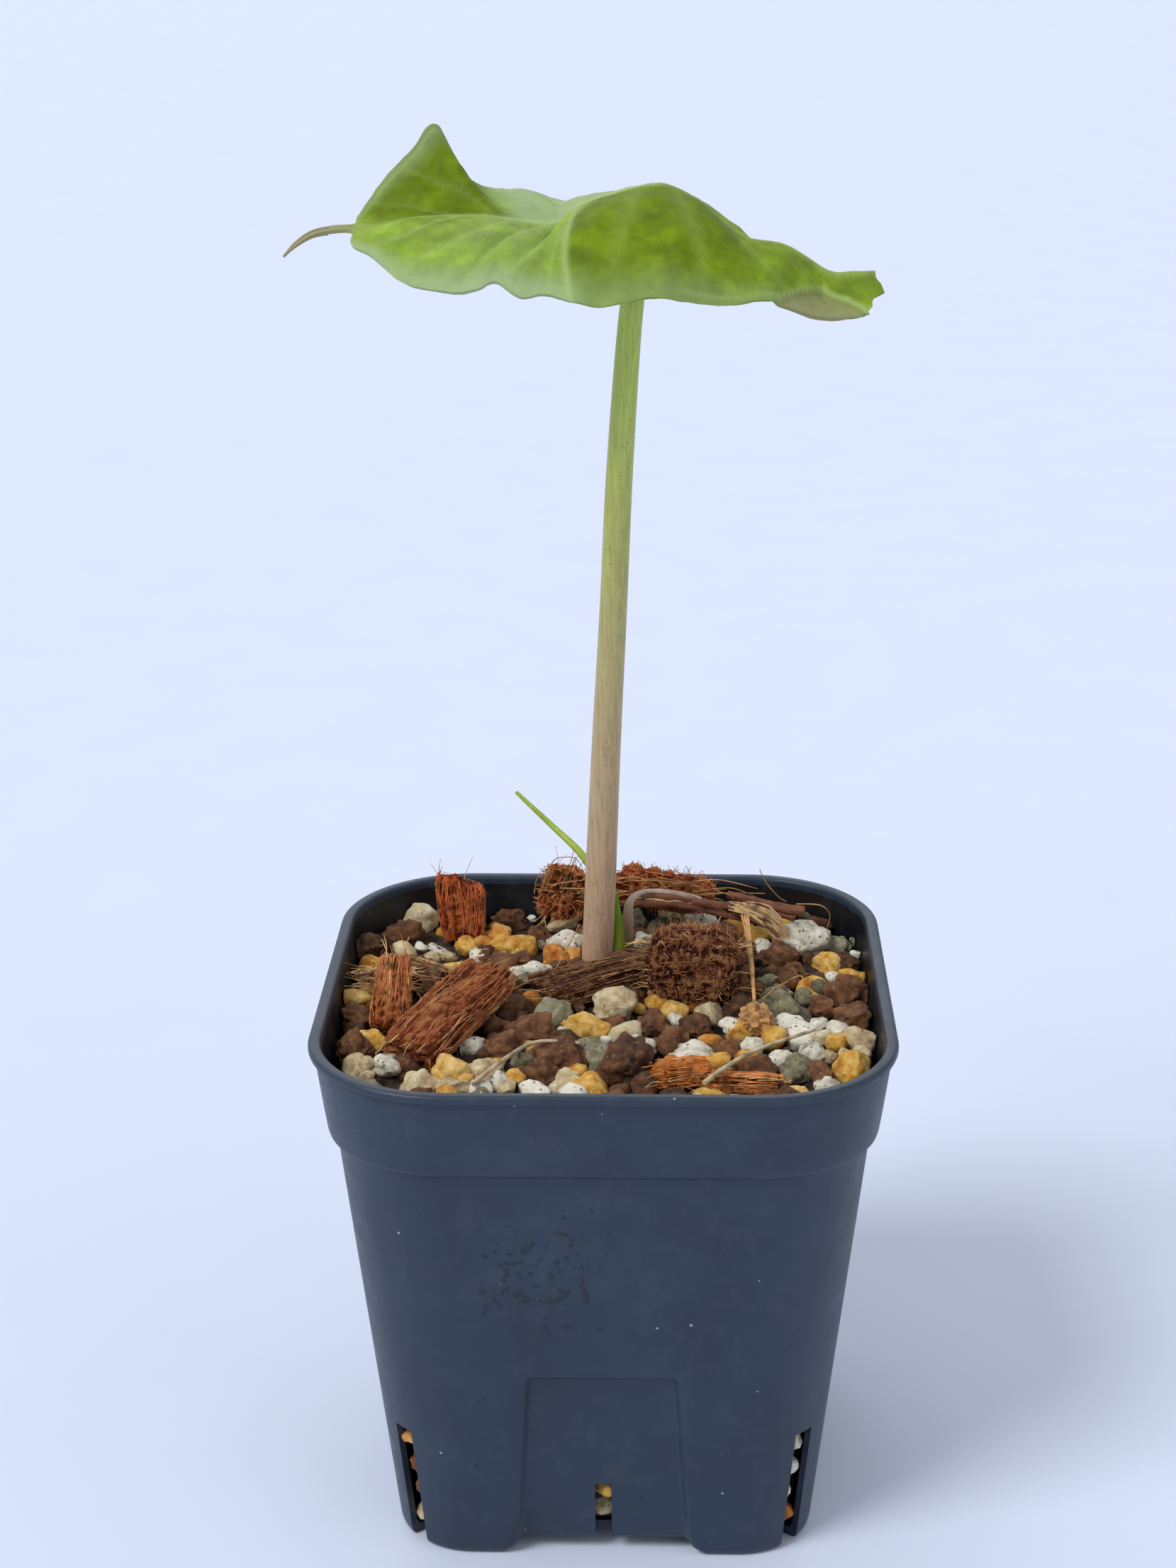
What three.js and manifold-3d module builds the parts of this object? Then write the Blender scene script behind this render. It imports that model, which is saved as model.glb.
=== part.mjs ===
// Potted alocasia amazonica: one arrow-shaped leaf on a tall stem, in a square slit nursery pot.
// Millimetres, +Z up. The front of the pot faces -Y, and the leaf's drip tip points to -X.

import * as THREE from "three";
import { mergeVertices } from "three/addons/utils/BufferGeometryUtils.js";
import Module from "manifold-3d";

// Clearance between neighbours.
const GAP = 0.3;

// Pot: a 90 mm square rim, a collar, a tapering body and four corner feet.
const POT_HEIGHT = 86;
const WALL = 1.2;
const RIM = { half: 45, radius: 21.6, lip: 1.4, width: 2, round: 0.4, ease: 0.2, neck: 0.3 };
const COLLAR = { height: 14.2, topHalf: 44.2, topRadius: 21, bottomHalf: 42.4, bottomRadius: 18.6 };
const COLLAR_STEP = { height: 1.3, ease: 0.5, tuck: 0.2 };
const BODY = { topHalf: 41.1, topRadius: 17.4, baseHalf: 33.2, baseRadius: 12.2 };
const FOOT = { height: 2.2, edge: 1.5, floor: 1.4, fillet: 0.8, filletInset: 0.6 };
const PANEL = { topHalf: 11.6, bottomHalf: 13.6, height: 34, depth: 1.4, block: 12 };
const NOTCH = { width: 2.6, flare: 3.4, flareTop: 3.2, height: 13 };
const SLIT = { width: 3.6, height: 22, reach: 9, inward: 5 };
// How far a cutting block runs past the surface that it opens.
const OVERRUN = 4;
const CORNER_STEPS = 6;

// Potting mix: a filled core with grains sunk into its surface.
const MIX_LEVEL = 78;
const GRAIN = { smallest: 3.1, largest: 4.2, spacing: 0.91, tries: 3600, wallMargin: 0.5 };
const GRAIN_LEVEL = { rise: 0.5, jitter: 0.7 };
const GRAIN_SHAPE = { shortest: 0.86, spread: 0.26, flattest: 0.78, flatSpread: 0.2, width: 1.04, turn: 6 };
const OPENING_GRAIN = { radius: 2.4, pocket: 1.6, jitter: 0.8 };
const SLIT_GRAIN = { count: 4, lowest: 4.4, pitch: 4.8, behindWall: 2.1 };
const NOTCH_GRAIN = { count: 2, lowest: 6.2, pitch: 4.6, behindWall: 1.7 };

// Stem, corm and roots.
const STEM = { baseRadius: 2.75, middleRadius: 2.15, topRadius: 1.45, middle: 0.4, sides: 14, steps: 16 };
const CORM = { x: -1.9, y: 21, top: 70, height: 17, radius: 8, sides: 12 };
// The corm's outline: shares of its radius and of its height.
const CORM_OUTLINE = [
  [0, 0], [0.45, 0], [0.85, 0.22], [1, 0.5], [0.8, 0.8], [0.42, 1], [0, 1],
];
const ROOT = { count: 6, reach: 19, drop: 30, shortest: 0.7, sides: 5, steps: 5 };
const ROOT_RADII = [0.95, 0.5];
const ROOT_START = { aboveBottom: 5, fromAxis: 0.5, turn: 0.5 };
const ROOT_BEND = { reach: 0.6, drop: 0.3 };
// Roots that grow towards the near wall behind the plant stay short.
const CRAMPED_ROOT = { towardsBack: 0.3, reach: 0.35 };

// Leaf blade. The rib is a thicker strip along the midrib, and its figures are in stations.
const BLADE = { thickness: 0.7, columnsPerStation: 2, rows: 5 };
const RIB = { depth: 1, halfWidth: 0.24, start: 3, grow: 5, fade: 10 };
// The torn end of the front lobe: places across it and how far each stands out.
const TORN_END = [
  [0, 0], [0.13, 0.2], [0.3, 1.3], [0.5, 2.1], [0.62, 0.7], [0.72, 0.5], [0.83, 0.7], [1, 0],
];

// Thin pieces: a path, the radius at both ends, sides and steps along.
const BACK_SHOOT = {
  path: [
    [0.6, 25.6, 76], [-1.4, 26, 90], [-4.4, 26.4, 96.2],
    [-9.6, 30, 100.2], [-13.2, 31, 103.4], [-15.8, 32, 105.8],
  ],
  radii: [0.85, 0.32],
  sides: 6,
  steps: 12,
};
const INNER_SHOOT = {
  path: [[1.4, 20.4, 76], [1.6, 20.3, 84], [1.1, 20.5, 92]],
  radii: [1.15, 0.4],
  sides: 8,
  steps: 6,
};
const DRY_SHEATH = {
  path: [
    [3.3, 22, 76], [3.2, 22.2, 84], [3.4, 22.4, 89.2], [5.4, 23.2, 91],
    [9, 24.2, 90.8], [13, 25.6, 89.6], [15.4, 27, 88.4],
  ],
  radii: [1, 0.45],
  sides: 6,
  steps: 12,
};
const ROOT_STRAND = {
  path: [[22.8, 24.6, 86.2], [23.2, 16, 85.8], [23.5, 5, 84.6], [23.7, -5.6, 82.8]],
  radii: [0.5, 0.5],
  sides: 5,
  steps: 9,
};
const NUB = { radius: 2.8, stretch: [0.92, 1.1, 0.9], at: [23.8, -7.4, 81.8], sides: 9, levels: 6 };
const TWIG_RIGHT = {
  path: [[15.3, -33.8, 83.2], [19.1, -28.4, 83.6], [23.8, -23, 83.8], [32.8, -15.2, 83.6]],
  radii: [0.5, 0.32],
  sides: 5,
  steps: 7,
};
const TWIG_LEFT = {
  path: [[-19.3, -32.2, 82], [-15.4, -24.4, 82.2], [-10.5, -17.5, 82.2], [-3.8, -17.2, 82]],
  radii: [0.5, 0.32],
  sides: 5,
  steps: 7,
};

// The stick bundle at the back right: two long stems, two broken ones and two of the splayed straws.
const STICK_SIDES = 5;
const STICK_STEPS = 5;
const STICKS = [
  { path: [[3.4, 30.6, 87.4], [12, 30.4, 87], [18, 30.2, 85.8], [24.6, 29.8, 84.2]], radii: [0.75, 0.6] },
  { path: [[4.4, 29.7, 86.5], [12, 29.6, 86.1], [18, 29.4, 84.9], [25.4, 29, 83.3]], radii: [0.7, 0.5] },
  { path: [[14, 29.8, 86.6], [21.6, 28.8, 86.2], [27.6, 28.2, 85.6], [31.4, 27.8, 84.6]], radii: [0.7, 0.65] },
  { path: [[20, 28.6, 88.6], [24, 28.4, 87.6], [28, 28.2, 86.5], [32.9, 28, 85.7]], radii: [0.6, 0.85] },
  { path: [[21, 28.6, 85.8], [26, 27, 84.9], [29.2, 26.4, 83.4]], radii: [0.5, 0.32] },
  { path: [[21, 28.6, 85.4], [26, 26.8, 83.9], [28.6, 25.8, 82.2]], radii: [0.5, 0.32] },
];

// Coir husk chips: a place, the way the fibres run, a size, the width at both ends and the loose fibre ends.
const CHIPS = {
  chip_standing: {
    at: [-25.3, 31, 84.4], along: [-0.06, 0.1, 1], size: [10.2, 7.8, 3.2], ends: [0.85, 1.05], fibres: 5,
  },
  chip_big: {
    at: [-24.4, -9.8, 83.6], along: [10.7, 17, 5], size: [22.5, 10, 4.8], ends: [1, 0.95], fibres: 7,
  },
  chip_left: {
    at: [-34, -4.4, 84.2], along: [0.02, 0.82, 0.57], size: [12.5, 6, 3.4], ends: [1.05, 0.8], fibres: 5,
  },
  chip_fibrous: {
    at: [-35.9, 5.5, 83], along: [1, 0.1, -0.05], size: [5, 4.6, 2.6], ends: [1, 0.9], fibres: 7,
  },
  chip_dark: {
    at: [-29.9, 9.6, 82], along: [1, -0.5, -0.1], size: [6.4, 3.8, 3.4], ends: [1, 0.8], fibres: 2,
  },
  chip_wedge: {
    at: [-0.2, 9, 81.8], along: [1, 0.42, 0.1], size: [23.4, 8.6, 3.8], ends: [1.15, 0.5], fibres: 6,
  },
  chip_block: {
    at: [14.2, 6.4, 85], along: [0.97, -0.1, 0.02], size: [14.4, 12.5, 12.2], ends: [0.95, 1], fibres: 8,
  },
  chip_back_left: {
    at: [-8.2, 34.6, 86.6], along: [0.3, 0.1, 1], size: [8.6, 7, 4.4], ends: [1, 1], fibres: 5,
  },
  chip_back_right: {
    at: [9.4, 35, 86.7], along: [1, 0.06, -0.2], size: [16.6, 7, 6.2], ends: [1.1, 0.65], fibres: 6,
  },
  chip_front: {
    at: [12, -26.4, 81.4], along: [1, 0.25, 0.05], size: [8, 5.4, 3], ends: [1, 0.9], fibres: 4,
  },
  chip_front_thin: {
    at: [20.8, -28.6, 80.8], along: [1, -0.05, 0], size: [10.4, 3.2, 2.4], ends: [1, 0.8], fibres: 4,
  },
};
const CHIP_RINGS = { sides: 7, shares: [-0.5, -0.42, -0.1, 0.2, 0.43, 0.5], endTaper: 0.62 };
const CHIP_ROUGHNESS = { girth: 0.96, girthSpread: 0.12, thinnest: 0.86, spread: 0.26, jag: 0.05 };
const CHIP_END = 0.46;
const FIBRE_END = { root: 0.28, spread: 0.7, bend: 1.2, fan: 1.6, shortest: 1.5, longer: 2.4, lift: 2 };
const FIBRE_RADII = [0.5, 0.3];
const FIBRE_SIDES = 3;

// Seeds of the random draws.
const SEED = { surface: 90, openings: 17, roots: 5, chips: 200 };
// Points closer than this are one point.
const SAME_POINT = 1e-3;
const POINTS_PER_MM = 200;

const wasm = await Module();
wasm.setup();

// Seeded random numbers between 0 and 1.
function randomFrom(seed) {
  let state = seed >>> 0;
  return () => {
    state = (Math.imul(state, 1664525) + 1013904223) >>> 0;
    return state / 4294967296;
  };
}

function vector(x, y, z) {
  return new THREE.Vector3(x, y, z);
}

// A closed BufferGeometry as a solid that can be cut and joined.
function solidFrom(geometry) {
  const bare = geometry.clone();
  for (const name of Object.keys(bare.attributes)) {
    if (name !== "position") {
      bare.deleteAttribute(name);
    }
  }
  const merged = mergeVertices(bare, 1e-4);
  return new wasm.Manifold(
    new wasm.Mesh({
      numProp: 3,
      vertProperties: merged.attributes.position.array,
      triVerts: new Uint32Array(merged.index.array),
    }),
  );
}

function geometryFrom(solid) {
  const made = solid.getMesh();
  const geometry = new THREE.BufferGeometry();
  geometry.setAttribute("position", new THREE.BufferAttribute(made.vertProperties, 3));
  geometry.setIndex(new THREE.BufferAttribute(made.triVerts, 1));
  return geometry;
}

function joinAll(solids) {
  return solids.reduce((whole, next) => whole.add(next));
}

// The biggest connected piece, without loose scraps.
function biggestPiece(solid) {
  const pieces = solid.decompose();
  return pieces.reduce((best, next) => (next.volume() > best.volume() ? next : best));
}

// A solid through rings of equal length, each counter-clockwise about the way the rings advance.
function loft(rings) {
  const count = rings[0].length;
  const index = [];
  for (let level = 0; level + 1 < rings.length; level++) {
    for (let side = 0; side < count; side++) {
      const a = level * count + side;
      const b = level * count + ((side + 1) % count);
      index.push(a, b, b + count, a, b + count, a + count);
    }
  }
  const last = (rings.length - 1) * count;
  for (let side = 1; side + 1 < count; side++) {
    index.push(0, side + 1, side, last, last + side, last + side + 1);
  }
  const positions = rings.flat().flatMap((point) => point.toArray());
  const geometry = new THREE.BufferGeometry();
  geometry.setAttribute("position", new THREE.Float32BufferAttribute(positions, 3));
  geometry.setIndex(index);
  return solidFrom(geometry);
}

// A tapering round solid along a curve.
function rod(points, radiusAt, sides, steps) {
  const curve = new THREE.CatmullRomCurve3(points);
  const frames = curve.computeFrenetFrames(steps, false);
  const rings = [];
  for (let step = 0; step <= steps; step++) {
    const centre = curve.getPointAt(step / steps);
    const radius = radiusAt(step / steps);
    const ring = [];
    for (let side = 0; side < sides; side++) {
      const angle = (2 * Math.PI * side) / sides;
      const offset = frames.normals[step].clone().multiplyScalar(Math.cos(angle) * radius);
      offset.addScaledVector(frames.binormals[step], Math.sin(angle) * radius);
      ring.push(offset.add(centre));
    }
    rings.push(ring);
  }
  return loft(rings);
}

// A square with round corners, at one height.
function squareRing(z, half, radius) {
  const ring = [];
  for (let corner = 0; corner < 4; corner++) {
    const middle = (corner + 0.5) * (Math.PI / 2);
    const reach = (half - radius) * Math.SQRT2;
    const centre = vector(Math.cos(middle) * reach, Math.sin(middle) * reach, z);
    for (let step = 0; step <= CORNER_STEPS; step++) {
      const angle = (corner + step / CORNER_STEPS) * (Math.PI / 2);
      ring.push(vector(Math.cos(angle) * radius, Math.sin(angle) * radius, 0).add(centre));
    }
  }
  return ring;
}

// Half width and corner radius of the body's outer face at a height.
function bodyAt(z) {
  const share = z / (POT_HEIGHT - COLLAR.height);
  return {
    half: THREE.MathUtils.lerp(BODY.baseHalf, BODY.topHalf, share),
    radius: THREE.MathUtils.lerp(BODY.baseRadius, BODY.topRadius, share),
  };
}

// How far the body's rounded corner reaches along the diagonal.
function cornerReach(z) {
  const { half, radius } = bodyAt(z);
  return (half - radius) * Math.SQRT2 + radius;
}

function insetRing(z, shape, inset) {
  return squareRing(z, shape.half - inset, shape.radius - inset);
}

const COLLAR_BOTTOM = POT_HEIGHT - COLLAR.height;
const BODY_TOP = COLLAR_BOTTOM - COLLAR_STEP.height;
const collarTop = { half: COLLAR.topHalf, radius: COLLAR.topRadius };
const collarBottom = { half: COLLAR.bottomHalf, radius: COLLAR.bottomRadius };

function potOutside() {
  const lipBottom = POT_HEIGHT - RIM.lip;
  return loft([
    insetRing(0, bodyAt(0), FOOT.edge),
    insetRing(RIM.round, bodyAt(0), RIM.round),
    insetRing(FOOT.edge, bodyAt(FOOT.edge), 0),
    insetRing(BODY_TOP, bodyAt(BODY_TOP), 0),
    insetRing(COLLAR_BOTTOM, collarBottom, COLLAR_STEP.tuck),
    insetRing(COLLAR_BOTTOM + COLLAR_STEP.ease, collarBottom, 0),
    insetRing(lipBottom - RIM.neck, collarTop, 0),
    insetRing(lipBottom, RIM, RIM.ease),
    insetRing(lipBottom + RIM.round, RIM, 0),
    insetRing(POT_HEIGHT - RIM.round, RIM, 0),
    insetRing(POT_HEIGHT, RIM, RIM.round),
  ]);
}

// A shape drawn in the XZ plane, with its thickness along Y and its middle at y = 0.
function upright(shape, thickness) {
  const geometry = new THREE.ExtrudeGeometry(shape, { depth: thickness, bevelEnabled: false });
  return geometry.translate(0, 0, -thickness / 2).rotateX(Math.PI / 2);
}

function polygon(corners) {
  return new THREE.Shape(corners.map(([x, y]) => new THREE.Vector2(x, y)));
}

// The block that presses one recessed panel into the front wall. It leans with the wall.
function panelBlock(grow) {
  const lean = Math.atan2(BODY.topHalf - BODY.baseHalf, COLLAR_BOTTOM);
  const shape = polygon([
    [-PANEL.bottomHalf - grow, -OVERRUN],
    [PANEL.bottomHalf + grow, -OVERRUN],
    [PANEL.topHalf + grow, PANEL.height + grow],
    [-PANEL.topHalf - grow, PANEL.height + grow],
  ]);
  const geometry = upright(shape, PANEL.block);
  geometry.translate(0, -PANEL.block / 2, 0).rotateX(lean);
  return solidFrom(geometry.translate(0, PANEL.depth + grow - BODY.baseHalf, 0));
}

// The raised cross between the feet, open to the outside under the pot.
function crossUnderPot(grow) {
  const length = 2 * (RIM.half + OVERRUN);
  const foot = PANEL.bottomHalf + FOOT.height + grow;
  const shape = polygon([
    [-foot, -1],
    [foot, -1],
    [PANEL.bottomHalf + grow, FOOT.height + grow],
    [-PANEL.bottomHalf - grow, FOOT.height + grow],
  ]);
  const bar = solidFrom(upright(shape, length));
  return bar.add(bar.rotate([0, 0, 90]));
}

function fourAround(solid, firstTurn = 0) {
  const turns = [0, 90, 180, 270];
  return joinAll(turns.map((turn) => solid.rotate([0, 0, firstTurn + turn])));
}

// The room inside the pot, drawn in from its walls and floor by a clearance.
function roomInPot(clearance) {
  const inset = WALL + clearance;
  const floor = FOOT.floor + clearance;
  const rimInset = RIM.width + clearance;
  const room = loft([
    insetRing(floor, bodyAt(floor), inset + FOOT.filletInset),
    insetRing(floor + FOOT.fillet, bodyAt(floor + FOOT.fillet), inset),
    insetRing(BODY_TOP, bodyAt(BODY_TOP), inset),
    insetRing(COLLAR_BOTTOM + COLLAR_STEP.ease, collarBottom, inset),
    insetRing(POT_HEIGHT - RIM.lip, RIM, rimInset),
    insetRing(POT_HEIGHT + OVERRUN, RIM, rimInset),
  ]);
  const pressed = fourAround(panelBlock(inset)).add(crossUnderPot(inset));
  return room.subtract(pressed);
}

function cornerSlits() {
  const outer = BODY.baseHalf * Math.SQRT2;
  const geometry = new THREE.BoxGeometry(2 * SLIT.reach, SLIT.width, SLIT.height + OVERRUN);
  geometry.translate(outer - SLIT.inward, 0, (SLIT.height - OVERRUN) / 2);
  return fourAround(solidFrom(geometry), 45);
}

function wallNotches() {
  const shape = polygon([
    [-NOTCH.flare / 2, -1],
    [NOTCH.flare / 2, -1],
    [NOTCH.width / 2, NOTCH.flareTop],
    [NOTCH.width / 2, NOTCH.height],
    [-NOTCH.width / 2, NOTCH.height],
    [-NOTCH.width / 2, NOTCH.flareTop],
  ]);
  return fourAround(solidFrom(upright(shape, 2 * OVERRUN + WALL).translate(0, -BODY.baseHalf, 0)));
}

function makePot() {
  const pressedIn = fourAround(panelBlock(0)).add(crossUnderPot(0));
  const openings = cornerSlits().add(wallNotches());
  return biggestPiece(potOutside().subtract(pressedIn).subtract(roomInPot(0)).subtract(openings));
}

// One rough grain: an icosahedron with uneven corners.
function grainSolid(centre, radius, random) {
  const geometry = new THREE.IcosahedronGeometry(radius, 0);
  const bare = new THREE.BufferGeometry().setAttribute("position", geometry.attributes.position);
  const merged = mergeVertices(bare, 1e-4);
  const corners = merged.attributes.position;
  for (let corner = 0; corner < corners.count; corner++) {
    const stretch = GRAIN_SHAPE.shortest + GRAIN_SHAPE.spread * random();
    corners.setXYZ(
      corner,
      corners.getX(corner) * stretch,
      corners.getY(corner) * stretch,
      corners.getZ(corner) * stretch,
    );
  }
  const squash = GRAIN_SHAPE.flattest + GRAIN_SHAPE.flatSpread * random();
  merged.rotateX(GRAIN_SHAPE.turn * random());
  merged.scale(GRAIN_SHAPE.width, GRAIN_SHAPE.width, squash);
  merged.rotateZ(GRAIN_SHAPE.turn * random());
  merged.translate(centre.x, centre.y, centre.z);
  return solidFrom(merged);
}

// Stones that stand out on the surface: x, y and radius.
const CHOSEN_STONES = [
  [-41.1, 24.3, 3.8], [-35.1, 30.6, 3.2], [-39.9, -4, 2.9], [-38.7, -15.5, 3.2], [-17.9, 38.2, 2.7],
  [-11.9, 31.9, 2.4], [-15, -0.3, 3.5], [-11.4, -7.9, 3.5], [-15.5, -14.1, 3.2], [3.9, 6.5, 2.6],
  [7.4, -5.5, 3.2], [3.2, -22.1, 4.5], [-6.9, -17.6, 4.1], [-9.5, -24.6, 3.1], [30.8, 15.6, 2.7],
  [39.4, 6.1, 3.4], [39.1, -3.6, 3.3], [19.2, -14.4, 2.7], [14.2, -6.2, 2.9], [39.3, 20.8, 2.4],
  [-29.4, 29.1, 2.9], [-12.5, 14.1, 2.9], [5.3, -14.9, 3.1], [-10.4, -30.1, 2.6], [32.7, 27.8, 4.1],
  [13.5, -16, 2.7], [28.1, -17.1, 2.4], [-25.5, 15.7, 2.4], [-37.3, -11.5, 2.4], [-23.6, -22.3, 2.9],
  [-16.5, 25.9, 3.4], [-3, -6.7, 3.2], [-1.6, -27.5, 2.9], [36.5, 19.6, 2.4], [37.7, -22.1, 3.4],
  [29, -30, 2.8], [-8.7, 20.5, 2.7], [-38.2, -21.5, 3.2], [-27.9, -27.1, 3.3], [-22.4, -28.3, 2.5],
  [-18.6, -21.9, 2.9], [1.2, 1.1, 3.6], [-5.4, -26.5, 2.4], [38.4, 29.1, 2.4], [29.2, -0.8, 3.4],
  [29.8, -21.7, 2.9], [-0.7, -16.8, 2.9],
];

// True where a grain's middle may lie: inside the wall, with the corners rounded.
function insideWall(x, y, margin) {
  const shape = bodyAt(MIX_LEVEL - COLLAR.height);
  const half = COLLAR.bottomHalf - WALL - margin;
  const corner = shape.radius;
  const overX = Math.max(0, Math.abs(x) - (half - corner));
  const overY = Math.max(0, Math.abs(y) - (half - corner));
  return Math.hypot(overX, overY) < corner;
}

function surfaceGrains() {
  const random = randomFrom(SEED.surface);
  const grains = CHOSEN_STONES.map(([x, y, radius]) => ({ x, y, radius }));
  for (let attempt = 0; attempt < GRAIN.tries; attempt++) {
    const x = (2 * random() - 1) * COLLAR.bottomHalf;
    const y = (2 * random() - 1) * COLLAR.bottomHalf;
    const radius = GRAIN.smallest + (GRAIN.largest - GRAIN.smallest) * random();
    const free = grains.every(
      (other) => Math.hypot(other.x - x, other.y - y) > GRAIN.spacing * (other.radius + radius),
    );
    if (free && insideWall(x, y, GRAIN.wallMargin)) {
      grains.push({ x, y, radius });
    }
  }
  return grains.map((grain) => {
    const height = MIX_LEVEL + GRAIN_LEVEL.rise * grain.radius + GRAIN_LEVEL.jitter * (random() - 0.5);
    return grainSolid(vector(grain.x, grain.y, height), grain.radius, random);
  });
}

// Grains that show through the corner slits and the wall notches, stacked from the floor up.
function wallGrains() {
  const random = randomFrom(SEED.openings);
  const grains = [];
  const upAxis = vector(0, 0, 1);
  const pile = (kind, turn, reachAt) => {
    for (let level = 0; level < kind.count; level++) {
      const z = kind.lowest + level * kind.pitch;
      const place = vector(reachAt(z) - kind.behindWall, (random() - 0.5) * OPENING_GRAIN.jitter, z);
      grains.push(grainSolid(place.applyAxisAngle(upAxis, turn), OPENING_GRAIN.radius, random));
    }
  };
  for (let quarter = 0; quarter < 4; quarter++) {
    const turn = (quarter * Math.PI) / 2;
    pile(SLIT_GRAIN, turn + Math.PI / 4, (z) => cornerReach(z) - WALL);
    pile(NOTCH_GRAIN, turn, (z) => bodyAt(z).half - PANEL.depth - 2 * WALL);
  }
  return grains;
}

// A block that takes the core back behind an opening, so that the grains there stand free.
function pocketBehind(opening, reach) {
  const depth = 2 * OVERRUN;
  const block = new THREE.BoxGeometry(depth, opening.width + WALL, opening.height - WALL);
  block.translate(reach - OPENING_GRAIN.pocket + depth / 2, 0, FOOT.floor + opening.height / 2);
  return solidFrom(block);
}

function wallPockets() {
  const middle = SLIT.height / 2;
  const corners = pocketBehind(SLIT, cornerReach(middle) - WALL);
  const notches = pocketBehind(NOTCH, bodyAt(NOTCH.height / 2).half - PANEL.depth - 2 * WALL);
  return fourAround(corners, 45).add(fourAround(notches));
}

function pottingMix(planted) {
  const room = roomInPot(GAP);
  const above = 3 * RIM.half;
  const lid = new THREE.BoxGeometry(above, above, above).translate(0, 0, MIX_LEVEL + above / 2);
  const core = room.subtract(solidFrom(lid)).subtract(wallPockets());
  const grains = surfaceGrains().concat(wallGrains());
  const filled = core.add(joinAll(grains)).intersect(room);
  return biggestPiece(filled.subtract(joinAll(planted)));
}

// Points of the leaf blade, from the drip tip to the ends of the two basal lobes.
// Each station has the midrib or the lobes' inner edges, both margins and how far each half bulges.
function station(middle, front, rear, frontBulge, rearBulge, rearMiddle = middle) {
  return {
    frontInner: vector(...middle),
    rearInner: vector(...rearMiddle),
    front: vector(...front),
    rear: vector(...rear),
    frontBulge,
    rearBulge,
  };
}

const STATIONS = [
  station([-48.6, 11, 199], [-48.5, 10.6, 198.9], [-48.5, 11.4, 199], 0, 0),
  station([-46.8, 11, 200.7], [-46.7, 10.4, 200.4], [-46.9, 11.6, 200.8], 0, 0),
  station([-44.1, 11, 202.4], [-44, 10.3, 202], [-44.2, 11.7, 202.5], 0, 0),
  station([-40.9, 11, 203], [-40.9, 10.2, 202.7], [-40.9, 11.8, 203.2], 0, 0),
  station([-37.8, 11, 203.2], [-37.9, 9.8, 202.7], [-37.9, 12, 203.4], 0, 0),
  station([-35.2, 11, 203.4], [-37.6, 6.4, 201.2], [-37.6, 14.3, 204.1], 0.3, -0.3),
  station([-31, 11, 204.2], [-34.4, 2.2, 200.4], [-36.1, 17.4, 206.4], 1, -0.9),
  station([-26.5, 11, 204.6], [-30.3, -1.6, 197.7], [-32.9, 19.8, 210.3], 1.9, -1.5),
  station([-22, 11, 204.7], [-25.9, -5.2, 196.9], [-29.3, 21.2, 213.9], 2.3, -1.7),
  station([-17.5, 11, 204.6], [-20.9, -6.8, 196.6], [-26, 21.8, 217.2], 2.4, -1.4),
  station([-14.7, 11, 204.3], [-18, -7.2, 197.1], [-22.3, 27.4, 208.6], 2.2, 0.4),
  station([-12, 11, 203.9], [-15.4, -6.2, 197.9], [-17.4, 28.4, 206.5], 1.6, 0.9),
  station([-9.2, 11, 203.6], [-12, -7.6, 196], [-12.5, 28.6, 206.2], 2.2, 0.9),
  station([-6.6, 11, 203.9], [-8.5, -7, 196.3], [-8.2, 28.6, 204.8], 1.6, 0.8),
  station([-3.8, 11, 206.2], [-5, -8, 195.7], [-3.2, 28.6, 203.2], 2.4, 1.2),
  station([1, 11, 207.9], [0, -8.6, 194.9], [3, 28.4, 201.2], 3.4, 2),
  station([8, 11, 209.5], [7, -7.4, 195.9], [10, 27.4, 199.2], 2, 2),
  station([13.6, 8.6, 207.6], [12, -6.8, 195.2], [16, 26.2, 197], 3, 2, [13.2, 13.4, 207]),
  station([20.2, 7.6, 202.4], [18.2, -5.6, 194.5], [22, 25, 194.8], 2.2, 2, [19.6, 14.8, 201.4]),
  station([27, 7, 201], [25, -3.4, 194.8], [28, 23.6, 192.8], 0.4, 1.6, [25.6, 15.8, 197.8]),
  station([33.4, 6.6, 197.4], [31, -1.4, 192.6], [33, 22.2, 191], -0.9, 1.2, [31, 16.8, 194.4]),
  station([37.1, 6, 197.4], [36.2, 1, 191.8], [36.2, 20.6, 189.8], -0.5, 0.6, [35, 17.8, 191.8]),
  station([40.2, 5.2, 197.6], [38.8, 2.4, 191.7], [38.2, 19.4, 189.2], 0, 0, [37.8, 18.6, 189.8]),
];
// The sinus between the lobes opens at this station.
const SINUS_STATION = 16;

function catmullRom(list, key, position) {
  const span = Math.min(Math.floor(position), list.length - 2);
  const share = position - span;
  const at = (offset) => list[THREE.MathUtils.clamp(span + offset, 0, list.length - 1)][key];
  const blend = (a, b, c, d) => {
    const velocityB = (c - a) / 2;
    const velocityC = (d - b) / 2;
    const cube = (2 * b - 2 * c + velocityB + velocityC) * share ** 3;
    return cube + (3 * c - 3 * b - 2 * velocityB - velocityC) * share ** 2 + velocityB * share + b;
  };
  const [a, b, c, d] = [at(-1), at(0), at(1), at(2)];
  if (typeof b === "number") {
    return blend(a, b, c, d);
  }
  return vector(blend(a.x, b.x, c.x, d.x), blend(a.y, b.y, c.y, d.y), blend(a.z, b.z, c.z, d.z));
}

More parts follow.
